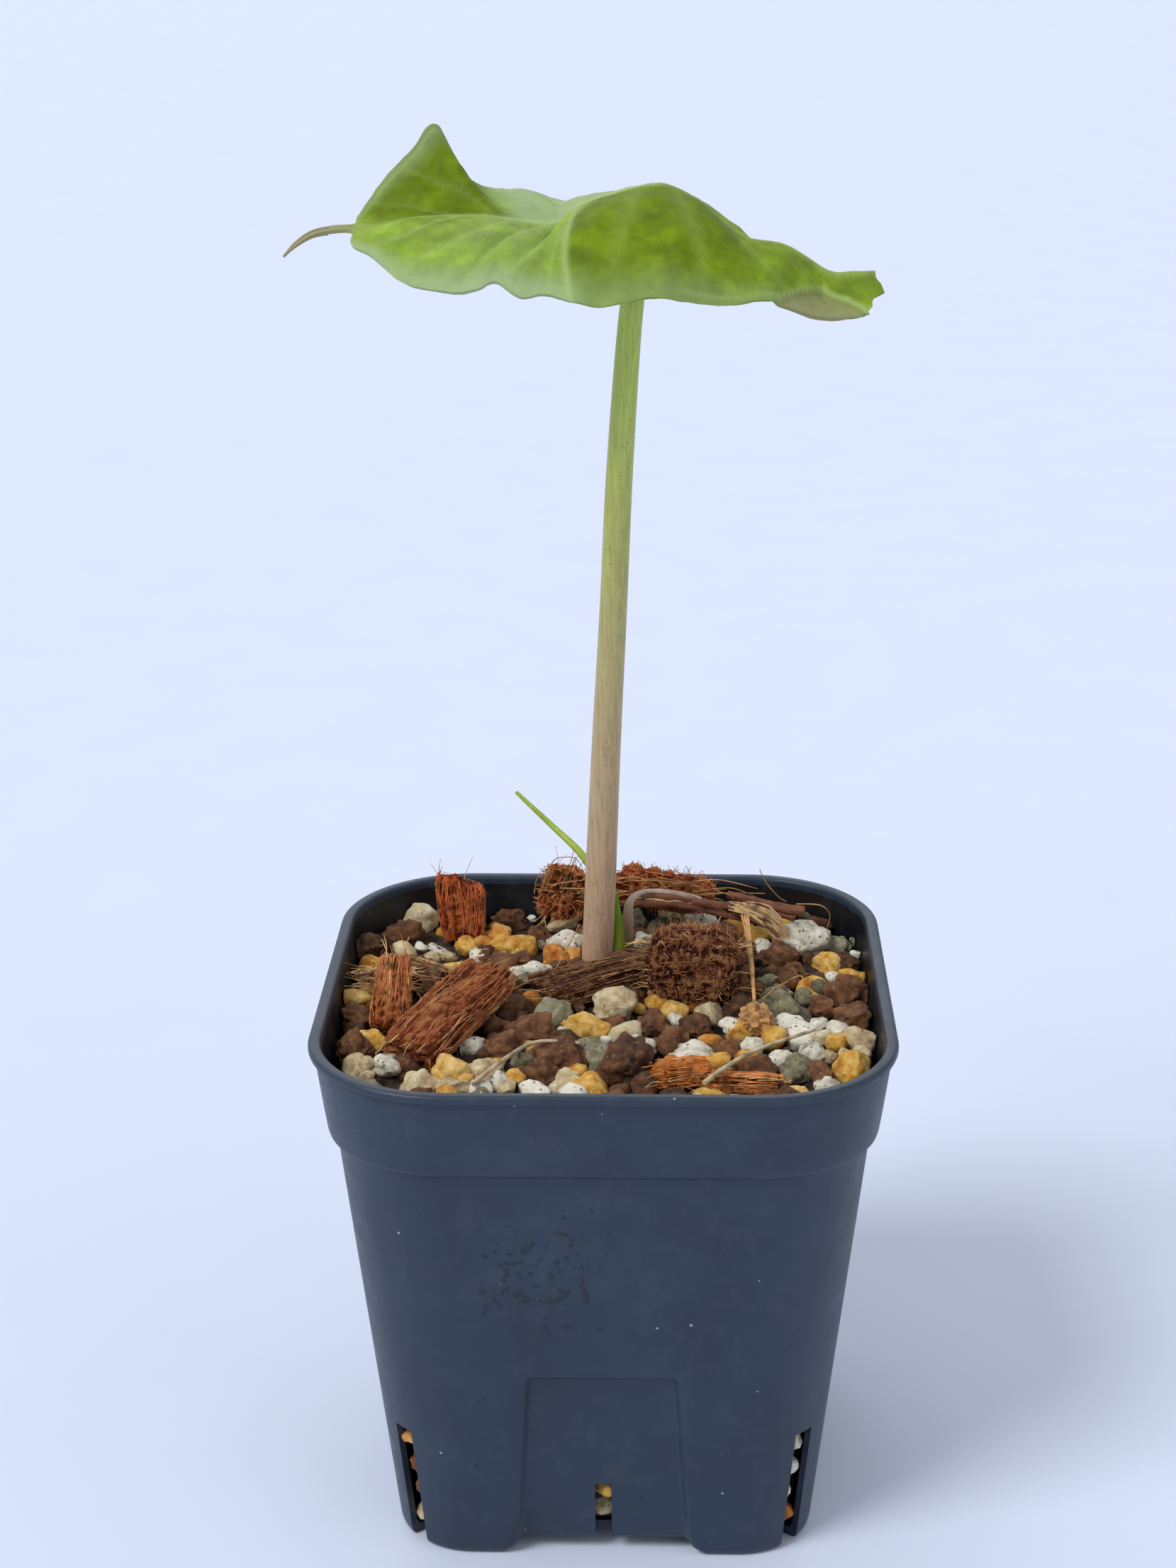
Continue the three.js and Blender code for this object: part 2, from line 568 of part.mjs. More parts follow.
// A point of the blade: across runs from 0 at the midrib to 1 at the margin.
function bladePoint(side, position, across) {
  const innerKey = position > SINUS_STATION ? `${side}Inner` : "frontInner";
  const inner = catmullRom(STATIONS, innerKey, position);
  const margin = catmullRom(STATIONS, side, position);
  const bulge = catmullRom(STATIONS, `${side}Bulge`, position);
  const before = catmullRom(STATIONS, "frontInner", Math.max(position - 0.5, 0));
  const after = catmullRom(STATIONS, "frontInner", Math.min(position + 0.5, STATIONS.length - 1));
  const chord = margin.clone().sub(inner);
  const rise = after.sub(before).cross(chord).normalize();
  if (side === "front") {
    rise.negate();
  }
  const point = inner.addScaledVector(chord, across);
  return point.addScaledVector(rise, bulge * 4 * across * (1 - across));
}

// How far a point at the torn end of the front lobe stands out.
function tornEnd(position, across) {
  const near = Math.max(0, position - (STATIONS.length - 2));
  const next = TORN_END.findIndex(([place]) => place >= across);
  const [place, reach] = TORN_END[Math.max(next - 1, 0)];
  const [nextPlace, nextReach] = TORN_END[next];
  const share = next ? (across - place) / (nextPlace - place) : 0;
  return near ** 2 * THREE.MathUtils.lerp(reach, nextReach, share);
}

// Depth of the rib under a point: none at the drip tip, at the sinus and away from the midrib.
function ribDepth(position, across) {
  const growing = THREE.MathUtils.clamp((position - RIB.start) / RIB.grow, 0, 1);
  const fading = THREE.MathUtils.clamp((SINUS_STATION - position) / RIB.fade, 0, 1);
  return RIB.depth * growing * fading * Math.max(0, 1 - across / RIB.halfWidth);
}

// One half of the blade as an open sheet, with the thickness under each of its points.
function halfBlade(side, grow) {
  const positions = [];
  const thickness = [];
  const columns = (STATIONS.length - 1) * BLADE.columnsPerStation;
  const sample = (column, row) => {
    const position = column / BLADE.columnsPerStation;
    const across = row / BLADE.rows;
    const point = bladePoint(side, position, across);
    point.x += side === "front" ? tornEnd(position, across) : 0;
    positions.push(point.x, point.y, point.z);
    thickness.push(BLADE.thickness + ribDepth(position, across) + 2 * grow);
  };
  for (let column = 0; column < columns; column++) {
    for (let row = 0; row < BLADE.rows; row++) {
      const corners = [
        [column, row],
        [column + 1, row],
        [column + 1, row + 1],
        [column, row + 1],
      ];
      const order = side === "rear" ? [0, 1, 2, 0, 2, 3] : [0, 2, 1, 0, 3, 2];
      order.forEach((corner) => sample(...corners[corner]));
    }
  }
  return { positions, thickness };
}

// A closed solid from an open sheet: its top, an offset bottom and a wall round every free edge.
function thickSheet(positions, thickness, lift) {
  const sheet = new THREE.BufferGeometry();
  sheet.setAttribute("position", new THREE.Float32BufferAttribute(positions, 3));
  const merged = mergeVertices(sheet, SAME_POINT);
  merged.computeVertexNormals();
  const nearest = new Map();
  const keyOf = (x, y, z) => [x, y, z].map((value) => Math.round(value * POINTS_PER_MM)).join(" ");
  for (let point = 0; point < thickness.length; point++) {
    nearest.set(keyOf(...positions.slice(3 * point, 3 * point + 3)), thickness[point]);
  }
  const place = merged.attributes.position;
  const normal = merged.attributes.normal;
  const top = [];
  const bottom = [];
  for (let point = 0; point < place.count; point++) {
    const here = new THREE.Vector3().fromBufferAttribute(place, point);
    const up = new THREE.Vector3().fromBufferAttribute(normal, point);
    const depth = nearest.get(keyOf(here.x, here.y, here.z)) ?? BLADE.thickness;
    const raise = lift + BLADE.thickness / 2;
    top.push(...here.clone().addScaledVector(up, raise).toArray());
    bottom.push(...here.addScaledVector(up, raise - depth).toArray());
  }
  const index = [];
  const edges = new Map();
  const faces = merged.index.array;
  for (let face = 0; face < faces.length; face += 3) {
    const [a, b, c] = faces.slice(face, face + 3);
    if (a === b || b === c || c === a) {
      continue;
    }
    index.push(a, b, c, a + place.count, c + place.count, b + place.count);
    for (const [from, to] of [
      [a, b],
      [b, c],
      [c, a],
    ]) {
      if (!edges.delete(`${to} ${from}`)) {
        edges.set(`${from} ${to}`, [from, to]);
      }
    }
  }
  for (const [from, to] of edges.values()) {
    index.push(from, from + place.count, to + place.count, from, to + place.count, to);
  }
  const closed = new THREE.BufferGeometry();
  closed.setAttribute("position", new THREE.Float32BufferAttribute(top.concat(bottom), 3));
  closed.setIndex(index);
  return solidFrom(closed);
}

function leafBlade(grow) {
  const front = halfBlade("front", grow);
  const rear = halfBlade("rear", grow);
  return thickSheet(front.positions.concat(rear.positions), front.thickness.concat(rear.thickness), grow);
}

const STEM_PATH = [
  vector(-1.9, 21, CORM.top - 0.1),
  vector(-1.9, 20.5, 79.4),
  vector(-0.4, 17.5, 115.4),
  vector(1, 15.4, 142),
  vector(2.1, 14, 165.2),
  vector(3.9, 12, 190),
  vector(5.6, 11.4, 199),
  vector(7.6, 11, 208),
];

function stem(grow) {
  const radiusAt = (along) => {
    const lower = THREE.MathUtils.lerp(STEM.baseRadius, STEM.middleRadius, Math.min(along / STEM.middle, 1));
    const share = (along - STEM.middle) / (1 - STEM.middle);
    const upper = THREE.MathUtils.lerp(STEM.middleRadius, STEM.topRadius, share);
    return (along < STEM.middle ? lower : upper) + grow;
  };
  return rod(STEM_PATH, radiusAt, STEM.sides, STEM.steps);
}

// The swollen stem base underground.
function corm(grow) {
  const bottom = CORM.top - CORM.height;
  const points = CORM_OUTLINE.map(([width, level]) => {
    const cap = level === 0 ? -grow : level === 1 ? grow - GAP : 0;
    return new THREE.Vector2(width ? width * CORM.radius + grow : 0, bottom + level * CORM.height + cap);
  });
  const turned = new THREE.LatheGeometry(points, CORM.sides).rotateX(Math.PI / 2);
  return solidFrom(turned.translate(CORM.x, CORM.y, 0));
}

function cormAndRoots(grow) {
  const bottom = CORM.top - CORM.height;
  const random = randomFrom(SEED.roots);
  const varied = () => THREE.MathUtils.lerp(ROOT.shortest, 1, random());
  const roots = [];
  for (let root = 0; root < ROOT.count; root++) {
    const angle = (2 * Math.PI * root) / ROOT.count + ROOT_START.turn * random();
    const cramped = Math.sin(angle) > CRAMPED_ROOT.towardsBack ? CRAMPED_ROOT.reach : 1;
    const reach = ROOT.reach * varied() * cramped;
    const drop = ROOT.drop * varied();
    const outward = vector(Math.cos(angle), Math.sin(angle), 0);
    const start = vector(CORM.x, CORM.y, bottom + ROOT_START.aboveBottom);
    start.addScaledVector(outward, CORM.radius * ROOT_START.fromAxis);
    const bend = start.clone().addScaledVector(outward, reach * ROOT_BEND.reach);
    bend.setZ(bottom - drop * ROOT_BEND.drop);
    const end = start.clone().addScaledVector(outward, reach).setZ(bottom - drop);
    const radiusAt = (along) => THREE.MathUtils.lerp(...ROOT_RADII, along) + grow;
    roots.push(rod([start, bend, end], radiusAt, ROOT.sides, ROOT.steps));
  }
  return joinAll([corm(grow), ...roots]);
}

// A thin piece from its listed path and radii.
function thinPiece({ path, radii, sides, steps }, grow) {
  const points = path.map((point) => vector(...point));
  return rod(points, (along) => THREE.MathUtils.lerp(...radii, along) + grow, sides, steps);
}

// A dry root that lies from the stick bundle down to a tan nub.
function rootStrand(grow) {
  const nub = new THREE.SphereGeometry(NUB.radius + grow, NUB.sides, NUB.levels);
  nub.scale(...NUB.stretch).translate(...NUB.at);
  return thinPiece(ROOT_STRAND, grow).add(solidFrom(nub));
}

// Loose fibre ends that fan out of both ends of a chip.
function fibreEnds(frame, spec, grow, random) {
  const [length, width, thickness] = spec.size;
  const ends = [];
  for (let fibre = 0; fibre < spec.fibres; fibre++) {
    const end = fibre % 2 ? 1 : -1;
    const sideways = (random() - 0.5) * width * FIBRE_END.spread * spec.ends[fibre % 2];
    const up = (random() - 0.2) * thickness * 0.5;
    const reach = FIBRE_END.shortest + FIBRE_END.longer * random();
    const start = vector(end * length * FIBRE_END.root, sideways, up);
    const middle = vector(end * length * 0.5, sideways * FIBRE_END.bend, up);
    const lift = FIBRE_END.lift * (random() - 0.2);
    const tip = vector(end * (length * 0.5 + reach), sideways * FIBRE_END.fan, up + lift);
    const path = [start, middle, tip].map((point) => point.applyMatrix4(frame));
    const radiusAt = (along) => THREE.MathUtils.lerp(...FIBRE_RADII, along) + grow;
    ends.push(rod(path, radiusAt, FIBRE_SIDES, 2));
  }
  return ends;
}

function frameAlong(at, along) {
  const ahead = vector(...along).normalize();
  const aside = Math.abs(ahead.z) > 0.8 ? vector(0, 1, 0).cross(ahead).negate() : vector(0, 0, 1).cross(ahead);
  aside.normalize();
  const frame = new THREE.Matrix4().makeBasis(ahead, aside, ahead.clone().cross(aside));
  return frame.setPosition(...at);
}

function chip(spec, seed, grow) {
  const random = randomFrom(seed);
  const [length, width, thickness] = spec.size;
  const frame = frameAlong(spec.at, spec.along);
  const { sides, shares, endTaper } = CHIP_RINGS;
  const rings = [];
  for (const share of shares) {
    const ring = [];
    const atEnd = Math.abs(share) > CHIP_END;
    const girth = atEnd ? endTaper : CHIP_ROUGHNESS.girth + CHIP_ROUGHNESS.girthSpread * random();
    const wide = width * THREE.MathUtils.lerp(...spec.ends, share + 0.5);
    for (let side = 0; side < sides; side++) {
      const angle = (2 * Math.PI * side) / sides;
      const rough = girth * (CHIP_ROUGHNESS.thinnest + CHIP_ROUGHNESS.spread * random());
      const jag = (random() - 0.5) * CHIP_ROUGHNESS.jag * length;
      const across = Math.cos(angle) * (wide / 2) * rough;
      const up = Math.sin(angle) * (thickness / 2) * rough;
      const round = Math.hypot(across, up);
      const wider = (round + grow) / round;
      const endways = share * length + jag + Math.sign(share) * (atEnd ? grow : 0);
      ring.push(vector(endways, across * wider, up * wider).applyMatrix4(frame));
    }
    rings.push(ring);
  }
  return joinAll([loft(rings), ...fibreEnds(frame, spec, grow, random)]);
}

// A bundle of husk sticks that splays at its right end.
function stickBundle(grow) {
  const sticks = STICKS.map((stick) => ({ ...stick, sides: STICK_SIDES, steps: STICK_STEPS }));
  return joinAll(sticks.map((stick) => thinPiece(stick, grow)));
}

function material(color, roughness) {
  return new THREE.MeshStandardMaterial({ color, roughness, metalness: 0 });
}

const LOOK = {
  pot: material("#363c45", 0.5),
  mix: material("#6a4b37", 0.95),
  leaf: material("#7ea534", 0.4),
  stem: material("#a59a72", 0.5),
  shoot: material("#a9c04a", 0.5),
  corm: material("#6d4b34", 0.9),
  husk: material("#8a4528", 0.95),
  straw: material("#b79a72", 0.9),
  sheath: material("#b7a199", 0.8),
};

// What grows from the mix or lies on it. Each piece gives way to those before it.
const PLANTED = [
  { name: "leaf_blade", look: LOOK.leaf, shape: leafBlade },
  { name: "petiole", look: LOOK.stem, shape: stem },
  { name: "corm_and_roots", look: LOOK.corm, shape: cormAndRoots },
  { name: "inner_shoot", look: LOOK.shoot, shape: (grow) => thinPiece(INNER_SHOOT, grow) },
  { name: "back_shoot", look: LOOK.shoot, shape: (grow) => thinPiece(BACK_SHOOT, grow) },
  { name: "dry_sheath", look: LOOK.sheath, shape: (grow) => thinPiece(DRY_SHEATH, grow) },
  { name: "stick_bundle", look: LOOK.straw, shape: stickBundle },
  { name: "root_strand", look: LOOK.straw, shape: rootStrand },
  ...Object.entries(CHIPS).map(([name, spec], order) => ({
    name,
    look: LOOK.husk,
    shape: (grow) => chip(spec, SEED.chips + order, grow),
  })),
  { name: "twig_right", look: LOOK.straw, shape: (grow) => thinPiece(TWIG_RIGHT, grow) },
  { name: "twig_left", look: LOOK.straw, shape: (grow) => thinPiece(TWIG_LEFT, grow) },
];

function mesh(name, solid, look) {
  const made = new THREE.Mesh(geometryFrom(solid), look);
  made.name = name;
  return made;
}

const plant = new THREE.Group();
plant.add(mesh("pot", makePot(), LOOK.pot));
const grownSolids = [];
for (const piece of PLANTED) {
  const solid = grownSolids.reduce((left, other) => left.subtract(other), piece.shape(0));
  plant.add(mesh(piece.name, biggestPiece(solid), piece.look));
  grownSolids.push(piece.shape(GAP));
}
plant.add(mesh("potting_mix", pottingMix(grownSolids), LOOK.mix));

// The origin lies under the middle of the whole plant and pot, on the ground.
const reach = new THREE.Box3().setFromObject(plant);
const middle = reach.getCenter(new THREE.Vector3());
plant.position.set(-middle.x, -middle.y, 0);

export default plant;
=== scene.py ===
import math

import bmesh
import bpy
from bpy.props import FloatProperty, FloatVectorProperty, IntProperty, PointerProperty
from mathutils import Matrix, Vector, noise


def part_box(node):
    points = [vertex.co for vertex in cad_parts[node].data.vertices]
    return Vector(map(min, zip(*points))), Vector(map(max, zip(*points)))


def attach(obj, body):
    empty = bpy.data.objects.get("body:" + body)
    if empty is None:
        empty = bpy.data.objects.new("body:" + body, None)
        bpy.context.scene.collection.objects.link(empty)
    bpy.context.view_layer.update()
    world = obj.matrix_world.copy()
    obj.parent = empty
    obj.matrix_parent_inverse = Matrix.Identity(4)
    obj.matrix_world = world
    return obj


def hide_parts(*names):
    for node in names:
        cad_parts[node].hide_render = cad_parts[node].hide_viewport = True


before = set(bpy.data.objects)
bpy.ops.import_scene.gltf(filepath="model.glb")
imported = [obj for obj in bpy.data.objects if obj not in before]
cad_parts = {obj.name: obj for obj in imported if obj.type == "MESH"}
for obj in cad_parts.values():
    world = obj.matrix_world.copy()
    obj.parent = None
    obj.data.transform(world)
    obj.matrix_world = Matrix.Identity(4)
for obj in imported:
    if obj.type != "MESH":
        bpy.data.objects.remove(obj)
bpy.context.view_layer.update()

bl_info = {
    "name": "Potted Alocasia",
    "version": (1, 0, 0),
    "blender": (4, 5, 0),
    "location": "3D View > Sidebar > Plant",
    "description": "Builds a young alocasia in a square slit nursery pot",
    "category": "Add Mesh",
}

POT_LOW, POT_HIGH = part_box("pot")
POT_MIDDLE = (POT_LOW + POT_HIGH) / 2
# From the pot's own millimetres, with its axis at the origin, to the frame's metres.
TO_ROW = Matrix.Translation((POT_MIDDLE.x, POT_MIDDLE.y, 0)) @ Matrix.Scale(0.001, 4)


def srgb(code):
    """An sRGB hex value as linear red, green and blue."""
    values = [int(code[start:start + 2], 16) / 255 for start in (0, 2, 4)]
    return tuple(v / 12.92 if v <= 0.04045 else ((v + 0.055) / 1.055) ** 2.4 for v in values)


class PotSettings(bpy.types.PropertyGroup):
    height: FloatProperty(
        name="Height", description="From the ground to the rim",
        default=POT_HIGH.z, min=0.03, unit="LENGTH", subtype="DISTANCE")
    wall: FloatProperty(
        name="Wall", description="Thickness of the moulded wall",
        default=0.0012, min=0.0005, unit="LENGTH", subtype="DISTANCE")
    panel_depth: FloatProperty(
        name="Panel depth", description="How far the panels are pressed in",
        default=0.0014, min=0, unit="LENGTH", subtype="DISTANCE")
    plastic: FloatVectorProperty(
        name="Plastic", description="Colour of the moulded plastic",
        default=srgb("1f2f42"), size=3, min=0, max=1, subtype="COLOR")
    dust: FloatVectorProperty(
        name="Dust", description="Colour of dust and dried water marks",
        default=srgb("a3a9b2"), size=3, min=0, max=1, subtype="COLOR")


class LeafSettings(bpy.types.PropertyGroup):
    thickness: FloatProperty(
        name="Thickness", description="Thickness of the blade between its veins",
        default=0.0006, min=0.0003, unit="LENGTH", subtype="DISTANCE")
    quilting: FloatProperty(
        name="Quilting", description="How far the blade swells between its side veins",
        default=0.0006, min=0, unit="LENGTH", subtype="DISTANCE")
    green: FloatVectorProperty(
        name="Green", description="Saturated green of the raised half",
        default=srgb("647a06"), size=3, min=0, max=1, subtype="COLOR")
    young: FloatVectorProperty(
        name="Young green", description="Yellow-green of the soft front half",
        default=srgb("84a036"), size=3, min=0, max=1, subtype="COLOR")
    # The pale colour is mostly painted sheen: the whitish glare on the rear half and along the margins.
    pale: FloatVectorProperty(
        name="Pale", description="Whitish green of the margins and the rear half",
        default=srgb("9bb083"), size=3, min=0, max=1, subtype="COLOR")
    # The vein colour also paints the highlight along the front lobe's fold.
    vein_and_fold_highlight: FloatVectorProperty(
        name="Vein", description="Colour of the veins",
        default=srgb("a8bc78"), size=3, min=0, max=1, subtype="COLOR")


class MixSettings(bpy.types.PropertyGroup):
    fillers: IntProperty(
        name="Small grains", description="Tries to place a small grain between the large ones",
        default=2600, min=0, max=9000)
    fibres: IntProperty(
        name="Fibres", description="Strands pressed on each husk chip",
        default=170, min=0, max=800)
    straw: FloatVectorProperty(
        name="Straw", description="Colour of the dry fibres",
        default=srgb("d4ab72"), size=3, min=0, max=1, subtype="COLOR")


class AlocasiaSettings(bpy.types.PropertyGroup):
    pot: PointerProperty(type=PotSettings)
    leaf: PointerProperty(type=LeafSettings)
    mix: PointerProperty(type=MixSettings)


# Helpers for shapes. Points are in millimetres from the pot's axis on the ground.

def random_from(seed):
    """Seeded random numbers between 0 and 1, from the same rule as the solid's."""
    state = seed

    def draw():
        nonlocal state
        state = (state * 1664525 + 1013904223) & 0xFFFFFFFF
        return state / 4294967296
    return draw


def lerp(a, b, share):
    return a + (b - a) * share


def smoothstep(low, high, value):
    """Rises smoothly from 0 at low to 1 at high."""
    share = min(max((value - low) / (high - low), 0), 1)
    return share * share * (3 - 2 * share)


def catmull(values, position):
    """A smooth value of the list at a fractional place; works for numbers and vectors."""
    span = min(int(position), len(values) - 2)
    share = position - span
    a, b, c, d = (values[min(max(span + step, 0), len(values) - 1)] for step in (-1, 0, 1, 2))
    velocity_b = (c - a) / 2
    velocity_c = (d - b) / 2
    cube = (2 * b - 2 * c + velocity_b + velocity_c) * share ** 3
    return cube + (3 * c - 3 * b - 2 * velocity_b - velocity_c) * share ** 2 + velocity_b * share + b


def smooth_path(points, steps):
    """The points' smooth curve, with that many steps between neighbours."""
    points = [Vector(point) for point in points]
    last = (len(points) - 1) * steps
    return [catmull(points, index / steps) for index in range(last + 1)]


def noise_shift(place):
    """A shift that changes with the place and is the same in each run, unlike noise_vector's."""
    apart = Vector((17.3, 5.7, 11.9))
    return Vector([noise.noise(place + apart * axis) for axis in range(3)])


def skin(rings, bm=None, values=None, layer=None):
    """Extrudes a closed loop from ring to ring, closes its ends and keeps a value at each vertex."""
    bm = bm or bmesh.new()
    count = len(rings[0])
    loop = bmesh.ops.create_circle(bm, segments=count, radius=1)["verts"]
    first = loop
    for level, ring in enumerate(rings):
        if level:
            edges = [bm.edges.get((a, b)) for a, b in zip(loop, loop[1:] + loop[:1])]
            made = set(bmesh.ops.extrude_edge_only(bm, edges=edges)["geom"])
            loop = [next(e.other_vert(v) for e in v.link_edges if e.other_vert(v) in made) for v in loop]
        for place, (vert, point) in enumerate(zip(loop, ring)):
            vert.co = point
            if values:
                vert[layer] = values[level][place]
    for end in (first, loop):
        edges = [bm.edges.get((a, b)) for a, b in zip(end, end[1:] + end[:1])]
        bmesh.ops.holes_fill(bm, edges=edges, sides=0)
    return bm


def add_tubes(bm, paths, sides=6):
    """Adds round tubes along paths of (point, radius) to a bmesh and returns their vertices."""
    curve = bpy.data.curves.new("tubes", "CURVE")
    curve.dimensions = "3D"
    curve.bevel_depth = 1
    curve.bevel_resolution = max(sides // 2 - 2, 0)
    curve.use_fill_caps = True
    for path in paths:
        spline = curve.splines.new("POLY")
        spline.points.add(len(path) - 1)
        for point, (place, radius) in zip(spline.points, path):
            point.co = (*place, 1)
            point.radius = radius
    holder = bpy.data.objects.new("tubes", curve)
    mesh = bpy.data.meshes.new_from_object(holder)
    before = len(bm.verts)
    bm.from_mesh(mesh)
    bpy.data.objects.remove(holder)
    bpy.data.curves.remove(curve)
    bpy.data.meshes.remove(mesh)
    bm.verts.ensure_lookup_table()
    return bm.verts[before:]


def number_layers(bm, *names):
    """New layers that hold a number at each vertex."""
    for name in names:
        bm.verts.layers.float.new(name)
    return [bm.verts.layers.float[name] for name in names]


def paint_from(bm, first, index):
    """Gives the faces from that number on the piece's material of that index."""
    bm.faces.ensure_lookup_table()
    for face in bm.faces[first:]:
        face.material_index = index


def finish_piece(name, bm, materials, replaced=(), crease=math.radians(50)):
    """Turns a bmesh in the pot's millimetres into a finished piece of the plant."""
    bmesh.ops.transform(bm, matrix=TO_ROW, verts=bm.verts)
    for face in bm.faces:
        face.smooth = True
    for edge in bm.edges:
        if edge.is_manifold and edge.calc_face_angle(0) > crease:
            edge.smooth = False
    mesh = bpy.data.meshes.new(name)
    bm.to_mesh(mesh)
    bm.free()
    for material in materials:
        mesh.materials.append(material)
    piece = bpy.data.objects.new(name, mesh)
    bpy.context.scene.collection.objects.link(piece)
    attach(piece, "root")
    if replaced:
        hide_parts(*replaced)
    return piece


# Helpers for materials.

# The sockets of a Mix node that mixes colours.
SHARE, UNDER, OVER = 0, 6, 7


def add_node(tree, kind, inputs=None, stops=None, **settings):
    """Adds a node, sets its properties and colour stops, and sets its inputs or links them."""
    node = tree.nodes.new("ShaderNode" + kind)
    for key, value in settings.items():
        setattr(node, key, value)
    if stops:
        ramp = node.color_ramp
        while len(ramp.elements) < len(stops):
            ramp.elements.new(1)
        for element, (place, colour) in zip(ramp.elements, stops):
            element.position = place
            element.color = (*colour, 1)
    for key, value in (inputs or {}).items():
        if isinstance(value, bpy.types.Node):
            value = next(socket for socket in value.outputs if socket.enabled)
        if isinstance(value, bpy.types.NodeSocket):
            tree.links.new(value, node.inputs[key])
        else:
            node.inputs[key].default_value = value
    return node


def new_material(name):
    """A material without nodes yet, and its node tree."""
    material = bpy.data.materials.new(name)
    material.use_nodes = True
    material.node_tree.nodes.clear()
    return material, material.node_tree


def finish_material(material, inputs):
    """Ends a material with its shader, whose constant sockets are set directly."""
    shader = add_node(material.node_tree, "BsdfPrincipled", inputs)
    add_node(material.node_tree, "OutputMaterial", {"Surface": shader})
    return material


def per_metre(millimetres):
    """The scale of a pattern whose features are that many millimetres wide."""
    return 1000 / millimetres


def rgba(colour):
    return (*colour, 1)


def shade(colour, factor):
    """A linear colour made darker or lighter."""
    return tuple(value * factor for value in colour)


# The pot. Lengths are in millimetres, and a shape is a half width and a corner radius.

# The height that the levels below are given for; the setting may stretch the lip away from it.
NOMINAL_HEIGHT = 86
RIM = (45.0, 21.6)
LIP_HEIGHT, COLLAR_HEIGHT, COLLAR_BASE = 1.4, 14.2, 71.8
COLLAR_TOP = (44.2, 21.0)
COLLAR_FOOT = (42.4, 18.6)
BODY_TOP = (41.1, 17.4)
BODY_FOOT = (33.2, 12.2)
WALL = 1.2
# A wall's recessed panel: its half width at the top and at the foot, its height and its depth.
PANEL_TOP, PANEL_FOOT, PANEL_HEIGHT, PANEL_RECESS = 11.6, 13.6, 34.0, 1.4
# The notch in a wall's foot and the slit at a corner: half width, height, and how far out they begin.
NOTCH_HALF, NOTCH_FLARE, NOTCH_HEIGHT, NOTCH_FROM = 1.3, 0.4, 13.0, 29.3
SLIT_HALF, SLIT_HEIGHT, SLIT_FROM = 1.8, 22.0, 32.95
FOOT_HEIGHT, FLOOR = 2.2, 1.4
# The raised cross between the feet: its half width, and where its side slopes down to them.
CROSS_HALF, CROSS_SLOPE = 13.6, (13.2, 15.4)
MIX_LEVEL = 78.0


def body_shape(z):
    """The shape of the body's outer face at a height."""
    share = z / (POT_HIGH.z * 1000 - COLLAR_HEIGHT)
    return tuple(lerp(a, b, share) for a, b in zip(BODY_FOOT, BODY_TOP))


def collar_shape(z, base=COLLAR_BASE):
    """The shape of the collar's outer face at a height."""
    share = min(max((z - base) / (COLLAR_HEIGHT - LIP_HEIGHT), 0), 1)
    return tuple(lerp(a, b, share) for a, b in zip(COLLAR_FOOT, COLLAR_TOP))


# The rings that the wall is made of: heights of the body, and elsewhere height, shape if it isn't
# the collar's slope, and inset. The lip runs over the rim from the outside to the inside.
BODY_LEVELS = [5.0, 7.0, 9.0, 11.0, 13.0, 15.0, 18.0, 20.5, 22.0, 24.0, 27.0, 30.0, 32.4,
               33.0, 33.5, 34.0, 34.5, 35.2, 38.0, 46.0, 54.0, 62.0, 68.0, 70.2]
FOOT_LEVELS = [(0.25, 0.3), (0.6, 0.1), (1.2, 0.0), (2.2, 0.0), (3.4, 0.0)]
COLLAR_LEVELS = [(70.8, body_shape(70.8), -0.1), (71.4, COLLAR_FOOT, 0.55), (71.8, COLLAR_FOOT, 0.16),
                 (72.3, COLLAR_FOOT, 0.0), (76.0, None, 0), (80.0, None, 0), (83.6, None, 0),
                 (84.2, None, 0.1), (84.5, None, 0.12)]
LIP_LEVELS = [(84.62, 0.28), (84.7, 0.1), (84.95, 0.0), (85.45, 0.0), (85.75, 0.12), (85.93, 0.34),
              (86.0, 0.62), (86.0, 1.38), (85.93, 1.68), (85.75, 1.9), (85.4, 2.0), (84.6, 2.06)]
INNER_COLLAR_LEVELS = [(83.0, COLLAR_TOP), (78.0, None), (72.6, COLLAR_FOOT)]
INNER_FOOT_LEVELS = [3.6, 2.4]
FLOOR_SHARES = [0.93, 0.86, 0.78, 0.6, 0.35, 0.18, 0.1, 0.0]


def wall_columns():
    """The columns from a wall's middle to the corner: what they keep to, and their share of it."""
    spans = [("notch", 2), ("plain", 7), ("panel", 6), ("side", 4), ("arc", 9), ("slit", 3)]
    columns = [("notch", 0.0)]
    for kind, count in spans:
        columns += [(kind, (step + 1) / count) for step in range(count)]
    return columns


COLUMNS = wall_columns()


def column_point(kind, share, z, half, radius, recess):
    """Outward and sideways place of a column on a rounded square."""
    panel = lerp(PANEL_FOOT, PANEL_TOP, min(max(z, 0) / PANEL_HEIGHT, 1))
    notch = NOTCH_HALF + NOTCH_FLARE * (1 - smoothstep(0, 3.2, z))
    edge_in, edge_out = panel - 1.0, panel + 0.7
    straight = half - radius
    if kind in ("arc", "slit"):
        slit = math.pi / 4 - math.asin(SLIT_HALF / radius)
        angle = slit * share if kind == "arc" else lerp(slit, math.pi / 4, share)
        return straight + radius * math.cos(angle), straight + radius * math.sin(angle)
    bounds = {"notch": (0, notch), "plain": (notch, edge_in), "panel": (edge_in, edge_out),
              "side": (edge_out, straight)}[kind]
    across = lerp(*bounds, share)
    pressed = 1 - smoothstep(edge_in, edge_out, across)
    pressed *= 1 - smoothstep(PANEL_HEIGHT - 1.0, PANEL_HEIGHT + 0.8, z)
    return half - recess * pressed, across


